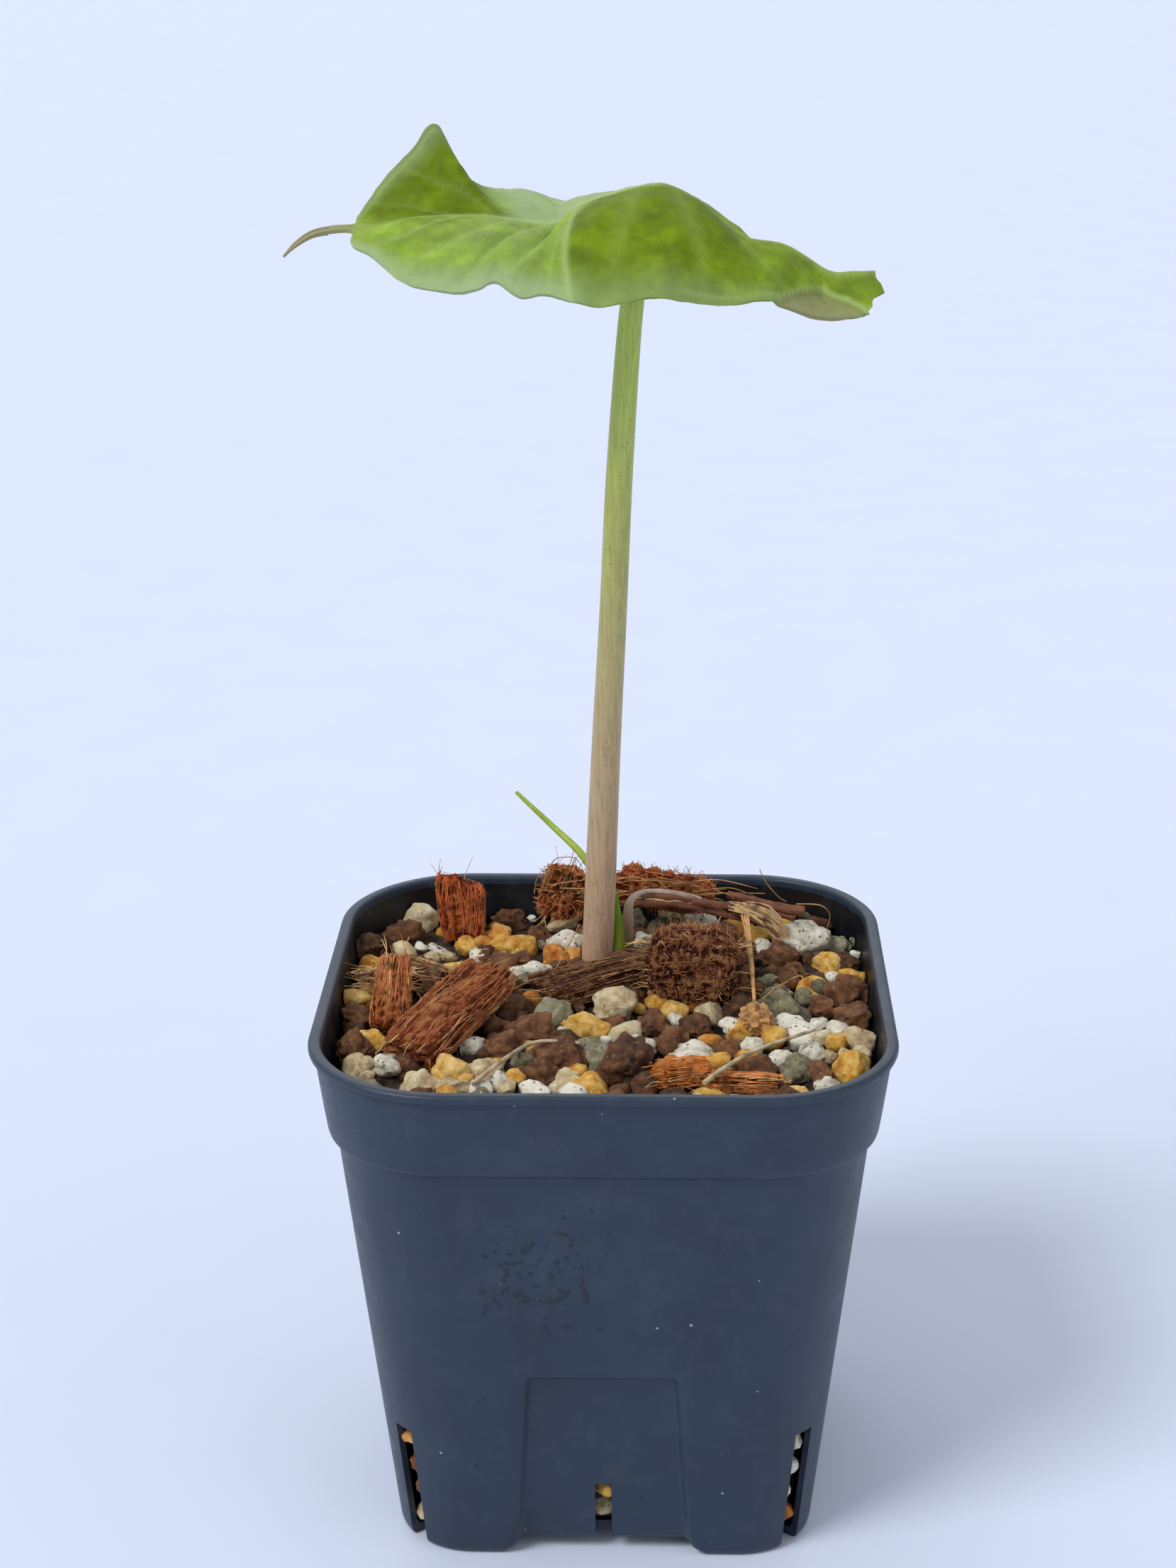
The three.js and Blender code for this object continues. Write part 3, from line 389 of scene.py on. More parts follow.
def pot_ring(z, shape, inset=0.0, recess=PANEL_RECESS, lifted=0.0):
    """One ring round the pot. The wall's lower edge is lifted between the feet."""
    half, radius = shape[0] - inset, shape[1] - inset
    ring = []
    for side in range(4):
        turn = Matrix.Rotation(side * math.pi / 2, 3, "Z")
        for mirror in (-1, 1):
            for kind, share in COLUMNS[:0:-1] if mirror < 0 else COLUMNS[:-1]:
                out, across = column_point(kind, share, z, half, radius, recess)
                height = z
                if lifted:
                    cross = 1 - smoothstep(*CROSS_SLOPE, across) if kind not in ("arc", "slit") else 0
                    height = z + FOOT_HEIGHT * cross * lifted
                ring.append(turn @ Vector((out, mirror * across, height)))
    return ring


def floor_ring(outer, share, z):
    """A ring of the floor: from the wall's foot (1) to a small square between the feet (0)."""
    ring = []
    for point in outer:
        x, y = point.x, point.y
        reach, low = max(abs(x), abs(y)), min(abs(x), abs(y))
        corner = Vector((math.copysign(CROSS_HALF, x), math.copysign(CROSS_HALF, y), 0))
        if low > CROSS_HALF:
            scale = CROSS_HALF / reach
            inner = lerp(corner, Vector((x * scale, y * scale, 0)), 0.06)
        else:
            inner = Vector((x if abs(x) == low else corner.x, y if abs(y) == low else corner.y, 0))
        place = lerp(inner, Vector((x, y, 0)), share)
        height = max(1 - smoothstep(*CROSS_SLOPE, low), 1 - smoothstep(0.05, 0.2, share))
        ring.append(Vector((place.x, place.y, z + FOOT_HEIGHT * height)))
    return ring


def foot_lift(z):
    """How much of the lift between the feet is left at a height."""
    return 1 - z / 5.0


def pot_bmesh(settings):
    """The moulded pot as one closed wall with its slits and notches cut through."""
    top, wall, recess = settings.height * 1000, settings.wall * 1000, settings.panel_depth * 1000
    collar = top - COLLAR_HEIGHT
    foot = pot_ring(0.0, body_shape(0), 0.7, recess, 1)
    outer = [foot]
    outer += [pot_ring(z, body_shape(z), inset, recess, foot_lift(z)) for z, inset in FOOT_LEVELS]
    outer += [pot_ring(z, body_shape(z), 0, recess) for z in BODY_LEVELS]
    outer += [pot_ring(z, shape or collar_shape(z, collar), inset, recess)
              for z, shape, inset in COLLAR_LEVELS]
    lip = [pot_ring(z - NOMINAL_HEIGHT + top, RIM, inset, recess) for z, inset in LIP_LEVELS]
    inner = [pot_ring(z, shape or collar_shape(z, collar), wall, recess)
             for z, shape in INNER_COLLAR_LEVELS]
    inner += [pot_ring(z, body_shape(z), wall, recess) for z in reversed(BODY_LEVELS)]
    inner += [pot_ring(z, body_shape(z), wall, recess, foot_lift(z)) for z in INNER_FOOT_LEVELS]
    inner.append(pot_ring(FLOOR, body_shape(FLOOR), wall + 0.5, recess, 1))
    underside = [floor_ring(foot, share, 0.0) for share in reversed(FLOOR_SHARES)]
    inside_floor = [floor_ring(inner[-1], share, FLOOR) for share in FLOOR_SHARES]
    bm = skin(underside + outer + lip + inner + inside_floor)
    cut_openings(bm)
    bmesh.ops.remove_doubles(bm, verts=bm.verts, dist=0.0005)
    bmesh.ops.dissolve_degenerate(bm, edges=bm.edges, dist=0.0005)
    return bm


def cut_openings(bm):
    """Opens the corner slits and wall notches through both skins and joins the skins round them."""
    doomed = []
    for face in bm.faces:
        if len(face.verts) > 4:
            continue
        centre = face.calc_center_median()
        x, y = abs(centre.x), abs(centre.y)
        in_slit = (abs(x - y) / math.sqrt(2) < SLIT_HALF and (x + y) / math.sqrt(2) > SLIT_FROM
                   and centre.z < SLIT_HEIGHT)
        in_notch = min(x, y) < NOTCH_HALF and max(x, y) > NOTCH_FROM and centre.z < NOTCH_HEIGHT
        if in_slit or in_notch:
            doomed.append(face)
    bmesh.ops.delete(bm, geom=doomed, context="FACES")
    openings = {}
    for edge in bm.edges:
        if edge.is_boundary:
            middle = (edge.verts[0].co + edge.verts[1].co) / 2
            eighth = round(math.degrees(math.atan2(middle.y, middle.x)) / 45) % 8
            openings.setdefault(eighth, []).append(edge)
    for edges in openings.values():
        bmesh.ops.bridge_loops(bm, edges=edges)


# The middle of the dried droplets on the front wall, and the distances in metres over which they end.
DROPLETS_AT = (-9, -40, 53)
DROPLETS_REACH = (0.005, 0.014)


def slate_plastic(settings, name, plastic):
    """Moulded polypropylene: satin slate with a fine skin, white dust, film and dark dried droplets."""
    material, tree = new_material(name)
    place = add_node(tree, "TexCoord").outputs["Object"]
    # Broad, faint clouds in the plastic.
    cloud = add_node(tree, "TexNoise", {"Vector": place, "Scale": per_metre(14), "Detail": 4.0})
    base = add_node(tree, "ValToRGB", {"Fac": cloud}, stops=[
        (0.3, shade(plastic, 0.85)), (0.72, shade(plastic, 1.15))])
    # White dust: a round speck in each cell, nearly all of them too small to see.
    specks = add_node(tree, "TexVoronoi", {"Vector": place, "Scale": per_metre(2.6)})
    chosen = add_node(tree, "SeparateColor", {"Color": specks.outputs["Color"]})
    size = add_node(tree, "Math", {0: chosen, 1: 6.5}, operation="POWER")
    radius = add_node(tree, "Math", {0: size, 1: 0.11}, operation="MULTIPLY")
    speck = add_node(tree, "Math", {0: specks, 1: radius}, operation="LESS_THAN")
    # A thin grey film, which dulls the gloss as well.
    film = add_node(tree, "TexNoise", {
        "Vector": place, "Scale": per_metre(5), "Detail": 8.0, "Roughness": 0.7})
    film_part = add_node(tree, "MapRange", {
        "Value": film, "From Min": 0.5, "From Max": 0.85, "To Max": 0.06})
    dusty = add_node(tree, "Math", {0: film_part, 1: speck}, operation="MAXIMUM")
    dusty_soft = add_node(tree, "Math", {0: dusty, 1: 0.75}, operation="MINIMUM")
    # Dark rims and blots where droplets have dried, dense in the middle and sparse further off.
    wet = add_node(tree, "TexNoise", {"Vector": place, "Scale": per_metre(1.7), "Detail": 2.0})
    away = add_node(tree, "VectorMath", {0: place, 1: tuple(TO_ROW @ Vector(DROPLETS_AT))},
                    operation="DISTANCE")
    near = add_node(tree, "MapRange", {
        "Value": away, "From Min": DROPLETS_REACH[0], "From Max": DROPLETS_REACH[1],
        "To Min": 0.09, "To Max": -0.08})
    drop = add_node(tree, "Math", {0: wet, 1: near}, operation="ADD")
    drop_part = add_node(tree, "MapRange", {
        "Value": drop, "From Min": 0.65, "From Max": 0.67, "To Max": 0.8})
    dried = add_node(tree, "Mix", {SHARE: drop_part, UNDER: base, OVER: rgba(shade(plastic, 0.35))},
                     data_type="RGBA")
    coloured = add_node(tree, "Mix", {SHARE: dusty_soft, UNDER: dried, OVER: rgba(settings.dust)},
                        data_type="RGBA")
    rough = add_node(tree, "MapRange", {
        "Value": film, "From Min": 0.3, "From Max": 0.7, "To Min": 0.34, "To Max": 0.52})
    # The mould's own fine grain.
    grain = add_node(tree, "TexNoise", {"Vector": place, "Scale": per_metre(0.7), "Detail": 3.0})
    bump = add_node(tree, "Bump", {"Height": grain, "Strength": 0.12, "Distance": 0.0001})
    return finish_material(material, {
        "Base Color": coloured, "Roughness": rough, "IOR": 1.49, "Normal": bump})


class PLANT_OT_pot(bpy.types.Operator):
    """Makes the square nursery pot"""
    bl_idname = "plant.make_pot"
    bl_label = "Pot"

    def execute(self, context):
        settings = context.scene.alocasia.pot
        bm = pot_bmesh(settings)
        bm.normal_update()
        # Faces that look at the axis below the lip are the inside, which gets a much darker copy of the
        # plastic as painted shade.
        for face in bm.faces:
            centre = face.calc_center_median()
            if centre.z < 85 and face.normal.dot(Vector((centre.x, centre.y, 0))) < -5:
                face.material_index = 1
        materials = [slate_plastic(settings, "slate_polypropylene", settings.plastic),
                     slate_plastic(settings, "painted_shade_polypropylene", shade(settings.plastic, 0.12))]
        finish_piece("nursery_pot", bm, materials, ["pot"], math.radians(35))
        return {"FINISHED"}


# The potting mix.

# The large stones that stand in the same places as in the solid, as x, y and radius, and below them
# the small ones that only the scene has.
STONES = {
    "brown": [
        (-41.1, 24.3, 3.8), (-35.1, 30.6, 3.2), (-39.9, -4, 2.9), (-38.7, -15.5, 3.2), (-17.9, 38.2, 2.7),
        (-11.9, 31.9, 2.4), (-15, -0.3, 3.5), (-11.4, -7.9, 3.5), (-15.5, -14.1, 3.2), (3.9, 6.5, 2.6),
        (7.4, -5.5, 3.2), (3.2, -22.1, 4.5), (-6.9, -17.6, 4.1), (-9.5, -24.6, 3.1), (30.8, 15.6, 2.7),
        (39.4, 6.1, 3.4), (39.1, -3.6, 3.3), (19.2, -14.4, 2.7), (14.2, -6.2, 2.9), (39.3, 20.8, 2.4)],
    "white": [
        (-29.4, 29.1, 2.9), (-12.5, 14.1, 2.9), (5.3, -14.9, 3.1), (-10.4, -30.1, 2.6), (32.7, 27.8, 4.1),
        (13.5, -16, 2.7), (28.1, -17.1, 2.4)],
    "yellow": [
        (-25.5, 15.7, 2.4), (-37.3, -11.5, 2.4), (-23.6, -22.3, 2.9), (-16.5, 25.9, 3.4), (-3, -6.7, 3.2),
        (-1.6, -27.5, 2.9), (36.5, 19.6, 2.4), (37.7, -22.1, 3.4), (29, -30, 2.8)],
    "orange": [(-8.7, 20.5, 2.7)],
    "cream": [
        (-38.2, -21.5, 3.2), (-27.9, -27.1, 3.3), (-22.4, -28.3, 2.5), (-18.6, -21.9, 2.9), (1.2, 1.1, 3.6),
        (-5.4, -26.5, 2.4)],
    "olive": [(38.4, 29.1, 2.4), (29.2, -0.8, 3.4), (29.8, -21.7, 2.9), (-0.7, -16.8, 2.9)],
}
SMALL_STONES = {
    "brown": [
        (-21, 20.3, 2.1), (-29.5, 6.6, 1.9), (-11.4, 41.3, 2.2), (-8.2, 16.9, 1.6), (9.9, -14.5, 2.2),
        (34.8, 0.4, 2.2), (33.4, -24.4, 2.2), (26.6, -27.5, 1.2), (24.3, -21.3, 1.9), (26.6, 20.6, 1.9)],
    "white": [
        (-29.7, 0.6, 1.3), (-33.2, -23.2, 1.8), (-18.4, -30.7, 1.8), (-13.8, 38.6, 0.8), (-6.6, 25.7, 1.9),
        (29, -6.8, 2.2), (33.9, -5.9, 1.6), (19.7, -6.4, 1.5), (23.2, -14.1, 1.9), (32.2, -17.1, 2.1),
        (41.6, 23.3, 0.9), (11, -4.3, 1.2)],
    "yellow": [
        (-24, 24.5, 2.1), (-41, 2.2, 2.3), (-38.7, 6.5, 1.6), (-13, -25.9, 1.5), (39.8, 11.9, 2.2),
        (36.5, -13.3, 1.9), (9.5, -22.5, 1.5)],
    "orange": [(-21.3, 29.6, 2.1), (-19, 30.8, 1.8), (-6, 21, 1.8)],
    "cream": [
        (-34.8, 22.5, 2.2), (-29.7, 20.2, 1.3), (-26.8, 20.8, 1.3), (-35.9, -26.2, 1.2), (-8.3, 34.5, 2.3),
        (-14.3, -29.9, 1.5), (6.9, 26.5, 1.8), (34, -11, 1.6), (35, -17.5, 1.2), (37.3, -16.2, 1.1),
        (40.1, -17.2, 1.6)],
    "olive": [
        (34, 39.9, 1.4), (41.7, 29.1, 0.9), (26.2, 11.4, 1.5), (21.5, 4.7, 1.2), (28.1, 6.8, 1.5),
        (31.8, 4.9, 1.6), (34.7, 8.9, 1.5), (-12.5, -20.1, 1.5), (-13.5, 10.9, 1.6)],
}
# What the random grains are made of: each kind, and where its share of the mix ends.
KIND_SHARES = [("brown", 0.4), ("yellow", 0.57), ("cream", 0.69), ("white", 0.82), ("olive", 0.93),
               ("orange", 1)]
# Each kind's stone, its dark, middle and light colours, its specks, the share of its surface that
# has none, and how rough its shape is.
KINDS = {
    "brown": dict(stone="fired_clay", colours=("2a170a", "684226", "9a6840"),
                  specks="8a6c50", bare=0.8, rough=1.25),
    "yellow": dict(stone="yellow_akadama", colours=("b0671c", "e4b04c", "f8da96"),
                   specks="f0d9a0", bare=0.8, rough=0.5),
    "orange": dict(stone="orange_akadama", colours=("9c4e14", "d48a34", "ecb468"),
                   specks="e8b878", bare=0.8, rough=0.45),
    "cream": dict(stone="cream_pumice", colours=("94795a", "d6c094", "f3e8c8"),
                  specks="8f7a4c", bare=0.72, rough=0.75),
    "white": dict(stone="white_pumice", colours=("a8a08a", "efe9d6", "fffbee"),
                  specks="4a4a44", bare=0.45, rough=0.75),
    "olive": dict(stone="grey_green_zeolite", colours=("5a503e", "898264", "aea88e"),
                  specks="4c4a40", bare=0.6, rough=0.75),
}
# The grains behind an opening: how many, the lowest one's height, the step between them, how far the
# opening is turned from a wall's middle, and whether it is a corner slit.
OPENINGS = [(4, 4.4, 4.8, math.pi / 4, True), (2, 6.2, 4.6, 0, False)]
OPENING_KINDS = ["orange", "white", "cream", "yellow", "brown", "white"]
# Numbers that the solid draws for the shape of one of its grains.
GRAIN_DRAWS = 15
# Tries to place a large grain at random, as in the solid.
LARGE_TRIES = 3600
# Grains above this height belong to the surface.
SURFACE_FROM = 70


def kind_for(value):
    """The kind of grain that a random number stands for."""
    return next(kind for kind, limit in KIND_SHARES if value <= limit)


def skip_shape(random):
    """Skips the solid's draws for a grain's shape, so the places stay the same as its own."""
    for _ in range(GRAIN_DRAWS):
        random()


def inside_wall(x, y, margin):
    """True where a grain's middle may lie: inside the wall, with the corners rounded."""
    corner = body_shape(MIX_LEVEL - COLLAR_HEIGHT)[1]
    half = COLLAR_FOOT[0] - WALL - margin
    over_x = max(0, abs(x) - (half - corner))
    over_y = max(0, abs(y) - (half - corner))
    return math.hypot(over_x, over_y) < corner


def surface_grains():
    """The large grains of the surface, in the same places as the solid's: kind, centre and radius."""
    random = random_from(90)
    grains = []
    for kind in ("brown", "white", "yellow", "orange", "cream", "olive"):
        grains += [(kind, x, y, radius) for x, y, radius in STONES[kind]]
    chosen = len(grains)
    for _ in range(LARGE_TRIES):
        x = (2 * random() - 1) * COLLAR_FOOT[0]
        y = (2 * random() - 1) * COLLAR_FOOT[0]
        radius = 3.1 + 1.1 * random()
        free = all(math.hypot(gx - x, gy - y) > 0.91 * (other + radius) for _, gx, gy, other in grains)
        if free and inside_wall(x, y, 0.5):
            grains.append(("", x, y, radius))
    tint = random_from(7)
    placed = []
    for index, (kind, x, y, radius) in enumerate(grains):
        height = MIX_LEVEL + 0.5 * radius + 0.7 * (random() - 0.5)
        skip_shape(random)
        guess = kind_for(tint())
        placed.append((kind if index < chosen else guess, Vector((x, y, height)), radius))
    return placed


def wall_grains():
    """The grains that show through the corner slits and the wall notches."""
    random = random_from(17)
    tint = random_from(29)
    placed = []
    for quarter in range(4):
        for count, lowest, pitch, turned, is_slit in OPENINGS:
            turn = Matrix.Rotation(quarter * math.pi / 2 + turned, 3, "Z")
            for level in range(count):
                z = lowest + level * pitch
                half, radius = body_shape(z)
                if is_slit:
                    reach = (half - radius) * math.sqrt(2) + radius - WALL - 2.1
                else:
                    reach = half - PANEL_RECESS - 2.4 - 1.7
                aside = (random() - 0.5) * 0.8
                skip_shape(random)
                kind = OPENING_KINDS[int(tint() * 6)]
                placed.append((kind, turn @ Vector((reach, aside, z)), 2.4))
                # A small one above it, in the gap to the next.
                placed.append((OPENING_KINDS[int(tint() * 6)],
                               turn @ Vector((reach - 0.3, 1.6 * (tint() - 0.5), z + 2.3)), 1.3))
    return placed


def under_chip(place, radius):
    """How high a grain may stand where a husk chip lies over it, or None."""
    limit = None
    for name, spec in CHIPS.items():
        local = chip_frame(spec).inverted() @ place
        length, width, thickness = spec["size"]
        if abs(local.x) < length / 2 + 0.2 * radius and abs(local.y) < width / 2 + 0.2 * radius:
            if abs(local.z) < thickness / 2 + 2 * radius:
                surface = (chip_frame(spec) @ Vector((local.x, local.y, 0))).z
                limit = surface if limit is None else min(limit, surface)
    return limit


def keep_inside(point, margin):
    """Moves a point of the surface inwards until it clears the pot's wall."""
    half, radius = collar_shape(point.z)
    straight, limit = half - radius, radius - WALL - margin
    over = Vector((max(0, abs(point.x) - straight), max(0, abs(point.y) - straight)))
    if over.length <= limit:
        return point
    over *= limit / over.length
    x = math.copysign(straight + over.x, point.x) if over.x else point.x
    y = math.copysign(straight + over.y, point.y) if over.y else point.y
    return Vector((x, y, point.z))


def add_grain(bm, layers, place, radius, random, detail, rough):
    """One rough stone: a ball made lumpy, split on random sides and pitted."""
    tone_layer, relief_layer = layers
    made = bmesh.ops.create_icosphere(bm, subdivisions=detail, radius=1)
    stretch = Vector((1.0 + 0.3 * random(), 0.82 + 0.2 * random(), 0.66 + 0.22 * random()))
    turn = Matrix.Rotation(6.3 * random(), 3, "Z") @ Matrix.Rotation(1.2 * (random() - 0.5), 3, "X")
    cuts = []
    for _ in range(6):
        angle, lift = 6.3 * random(), 2 * random() - 1
        flat = math.sqrt(1 - lift * lift)
        normal = Vector((flat * math.cos(angle), flat * math.sin(angle), lift))
        cuts.append((normal, 0.6 + 0.25 * random()))
    tone = random()
    seed = Vector((random(), random(), random())) * 40
    for vert in made["verts"]:
        point = vert.co.copy()
        for normal, depth in cuts:
            over = point.dot(normal) - depth
            if over > 0:
                point -= normal * over * 0.8
        knobs = noise.noise(point * 2.6 + seed)
        pits = noise.noise(point * 6.0 + seed) + 0.6 * noise.noise(point * 12.0 + seed)
        point *= 1.04 + 0.34 * noise.noise(point * 1.2 + seed) + rough * (0.24 * knobs + 0.08 * pits)
        point = Vector((point.x * stretch.x, point.y * stretch.y, point.z * stretch.z))
        point = place + (turn @ point) * radius
        vert.co = keep_inside(point, 0.1) if place.z > SURFACE_FROM else point
        vert[tone_layer] = tone
        # The relief also sets the colour: knobs lighter as painted highlight, pits darker as painted shade.
        vert[relief_layer] = 0.5 + 0.5 * knobs + 0.35 * pits


def grain_material(kind):
    """A porous stone grain: its own tone, with pores and mineral specks, painted highlight on its knobs and
    painted shade in its pits.
    """
    look = KINDS[kind]
    material, tree = new_material(look["stone"])
    dark, middle, light = (srgb(code) for code in look["colours"])
    place = add_node(tree, "TexCoord").outputs["Object"]
    # Lighter or darker from grain to grain, in blotches; lighter where the stone stands out and darker in its
    # pits, as painted highlight and painted shade.
    tone = add_node(tree, "Attribute", attribute_name="grain_tone")
    mottle = add_node(tree, "TexNoise", {
        "Vector": place, "Scale": per_metre(1.6), "Detail": 6.0, "Roughness": 0.65})
    spread = add_node(tree, "Math", {0: mottle, 1: 1.5, 2: -0.75}, operation="MULTIPLY_ADD")
    mixed = add_node(tree, "Math", {0: tone.outputs["Fac"], 1: 0.4, 2: spread}, operation="MULTIPLY_ADD")
    relief = add_node(tree, "Attribute", attribute_name="grain_relief")
    raised = add_node(tree, "Math", {0: relief.outputs["Fac"], 1: 0.6, 2: mixed},
                      operation="MULTIPLY_ADD")
    base = add_node(tree, "ValToRGB", {"Fac": raised}, stops=[
        (0.05, dark), (0.5, middle), (0.95, light)])
    # Mineral specks, in some of the cells only.
    specks = add_node(tree, "TexVoronoi", {"Vector": place, "Scale": per_metre(0.9)})
    near = add_node(tree, "Math", {0: specks, 1: 0.26}, operation="LESS_THAN")
    picked = add_node(tree, "SeparateColor", {"Color": specks.outputs["Color"]})
    shown = add_node(tree, "Math", {0: picked, 1: look["bare"]}, operation="GREATER_THAN")
    both = add_node(tree, "Math", {0: near, 1: shown}, operation="MULTIPLY")
    part = add_node(tree, "Math", {0: both, 1: 0.8}, operation="MULTIPLY")
    coloured = add_node(tree, "Mix", {SHARE: part, UNDER: base, OVER: rgba(srgb(look["specks"]))},
                        data_type="RGBA")
    # Fine pores.
    pores = add_node(tree, "TexNoise", {
        "Vector": place, "Scale": per_metre(0.55), "Detail": 5.0, "Roughness": 0.7})
    bump = add_node(tree, "Bump", {"Height": pores, "Strength": 0.9, "Distance": 0.0006})
    return finish_material(material, {"Base Color": coloured, "Roughness": 0.9, "Normal": bump})


def shaded_gap_fill():
    """The fill that shows in the gaps between the grains: dark as painted shade of the deep gaps, mottled
    like crumbs.
    """
    material, tree = new_material("shaded_gap_fill")
    place = add_node(tree, "TexCoord").outputs["Object"]
    crumbs = add_node(tree, "TexNoise", {"Vector": place, "Scale": per_metre(1.1), "Detail": 6.0})
    # Painted shade: near black in most of the gaps, with lighter brown crumbs.
    base = add_node(tree, "ValToRGB", {"Fac": crumbs}, stops=[
        (0.35, srgb("1f1612")), (0.55, srgb("3b2a20")), (0.75, srgb("6d5136"))])
    bump = add_node(tree, "Bump", {"Height": crumbs, "Strength": 1.0, "Distance": 0.001})
    return finish_material(material, {"Base Color": base, "Roughness": 0.95, "Normal": bump})


class PLANT_OT_mix(bpy.types.Operator):
    """Fills the pot with the mix and its grains"""
    bl_idname = "plant.make_mix"
    bl_label = "Potting mix"

    def execute(self, context):
        self.core()
        self.grains(context.scene.alocasia.mix.fillers)
        return {"FINISHED"}

    def core(self):
        """The fill between the grains, dark as painted shade: rings up the wall, then a rough top that closes
        to the middle.
        """
        rings = []
        gap = WALL + 0.3
        for z, inset in ((4.2, 3.4), (24, 3.2), (34, 2.9), (46, gap), (60, gap), (70, gap)):
            rings.append(pot_ring(z, body_shape(z), inset))
        rings.append(pot_ring(74, COLLAR_FOOT, gap + 0.6, 0))
        top = pot_ring(MIX_LEVEL, COLLAR_FOOT, gap + 0.4, 0)
        # The top closes in steps towards the middle.
        for share in [1, 0.97, 0.93] + [0.9 - 0.06 * step for step in range(14)]:
            ring = []
            for point in top:
                spot = Vector((point.x * share, point.y * share, 0))
                rough = 1.1 * noise.noise(spot * 0.35) + 0.7 * noise.noise(spot * 0.9)
                ring.append(Vector((spot.x, spot.y, MIX_LEVEL + 0.4 + rough)))
            rings.append(ring)
        finish_piece("soil_core", skin(rings), [shaded_gap_fill()], ["potting_mix"])

    def all_grains(self, fillers):
        """Every grain as kind, centre, radius and how finely its ball is divided."""
        placed = []
        chosen = sum(len(stones) for stones in STONES.values())
        for index, (kind, place, radius) in enumerate(surface_grains()):
            placed.append((kind, place, radius, 4) if index < chosen else (kind, place, 0.74 * radius, 3))
        for kind, stones in SMALL_STONES.items():
            placed += [(kind, Vector((x, y, 79.7 + 0.35 * radius)), radius, 3) for x, y, radius in stones]
        # Small ones fill the gaps, the larger of them first.
        random = random_from(411)
        for attempt in range(fillers):
            x, y = (2 * random() - 1) * 40.6, (2 * random() - 1) * 40.6
            shrink = 1 - attempt / fillers
            radius = 0.8 + 1.7 * shrink + 0.4 * random()
            z = MIX_LEVEL + 0.3 + 0.4 * radius + 0.8 * random()
            kind = kind_for(random())
            free = all(math.hypot(other.x - x, other.y - y) > 0.84 * (reach + radius)
                       for _, other, reach, _ in placed)
            if free and inside_wall(x, y, 0.3):
                placed.append((kind, Vector((x, y, z)), radius, 2))
        return placed + [(kind, place, radius, 3) for kind, place, radius in wall_grains()]

    def grains(self, fillers):
        """One piece for each kind of grain; a grain under a chip is lowered until the chip lies on it."""
        meshes = {kind: bmesh.new() for kind in KINDS}
        layers = {kind: number_layers(bm, "grain_tone", "grain_relief") for kind, bm in meshes.items()}
        shape = random_from(53)
        for kind, place, radius, detail in self.all_grains(fillers):
            limit = under_chip(place, radius) if place.z > SURFACE_FROM else None
            if limit is not None:
                place = Vector((place.x, place.y, min(place.z, limit - 0.9 * radius)))
            add_grain(meshes[kind], layers[kind], place, radius, shape, detail, KINDS[kind]["rough"])
        for kind, bm in meshes.items():
            finish_piece(f"grains_{kind}", bm, [grain_material(kind)], crease=math.radians(60))


# Husk chips.

# Place, way of the fibres, size, width at both ends, tint, share of straw strands, number of woolly
# hairs and of loose fibres; slant tilts the upper end, and round makes a lump of the slab.
CHIPS = {
    "chip_standing": dict(at=(-25.3, 31, 84.4), along=(-0.06, 0.1, 1), size=(10.2, 7.8, 3.2),
                          ends=(0.85, 1.05), tint="c65420", straw=0.1, wool=0, loose=5, slant=0.35),
    "chip_big": dict(at=(-24.4, -9.8, 83.6), along=(10.7, 17, 5), size=(22.5, 10, 4.8), ends=(1, 0.95),
                     tint="b25c32", straw=0.3, wool=60, loose=26),
    "chip_left": dict(at=(-34, -4.4, 84.2), along=(0.02, 0.82, 0.57), size=(12.5, 6, 3.4), ends=(1.05, 0.8),
                      tint="b85c2a", straw=0.2, wool=20, loose=16),
    "chip_fibrous": dict(at=(-35.9, 5.5, 83), along=(1, 0.1, -0.05), size=(5, 4.6, 2.6), ends=(1, 0.9),
                         tint="9d653a", straw=0.8, wool=10, loose=70),
    "chip_dark": dict(at=(-29.9, 9.6, 82), along=(1, -0.5, -0.1), size=(6.4, 3.8, 3.4), ends=(1, 0.8),
                      tint="6e3d2a", straw=0.25, wool=20, loose=8),
    "chip_wedge": dict(at=(-0.2, 9, 81.8), along=(1, 0.42, 0.1), size=(23.4, 8.6, 3.8), ends=(1.15, 0.5),
                       tint="66361f", straw=0.25, wool=30, loose=30),
    "chip_block": dict(at=(14.2, 6.4, 85), along=(0.97, -0.1, 0.02), size=(14.4, 12.5, 12.2), ends=(0.95, 1),
                       tint="783820", straw=0.1, wool=900, loose=44, round=2.4),
    "chip_back_left": dict(at=(-8.2, 34.6, 86.6), along=(0.3, 0.1, 1), size=(8.6, 7, 4.4), ends=(1, 1),
                           tint="bc6434", straw=0.3, wool=260, loose=16, round=2.4),
    "chip_back_right": dict(at=(9.4, 35, 86.7), along=(1, 0.06, -0.2), size=(16.6, 7, 6.2), ends=(1.1, 0.65),
                            tint="b85628", straw=0.2, wool=420, loose=12, round=2.4),
    "chip_front": dict(at=(12, -26.4, 81.4), along=(1, 0.25, 0.05), size=(8, 5.4, 3), ends=(1, 0.9),
                       tint="d87422", straw=0.2, wool=10, loose=10),
    "chip_front_thin": dict(at=(20.8, -28.6, 80.8), along=(1, -0.05, 0), size=(10.4, 3.2, 2.4), ends=(1, 0.8),
                            tint="c06626", straw=0.2, wool=10, loose=10),
}


# How square a slab's section is, and how finely a chip is divided round, along and over its ends.
SLAB_POWER = 5
CHIP_SIDES, CHIP_LEVELS, CHIP_CAPS = 56, 40, [0.9, 0.7, 0.45, 0.2, 0.05]


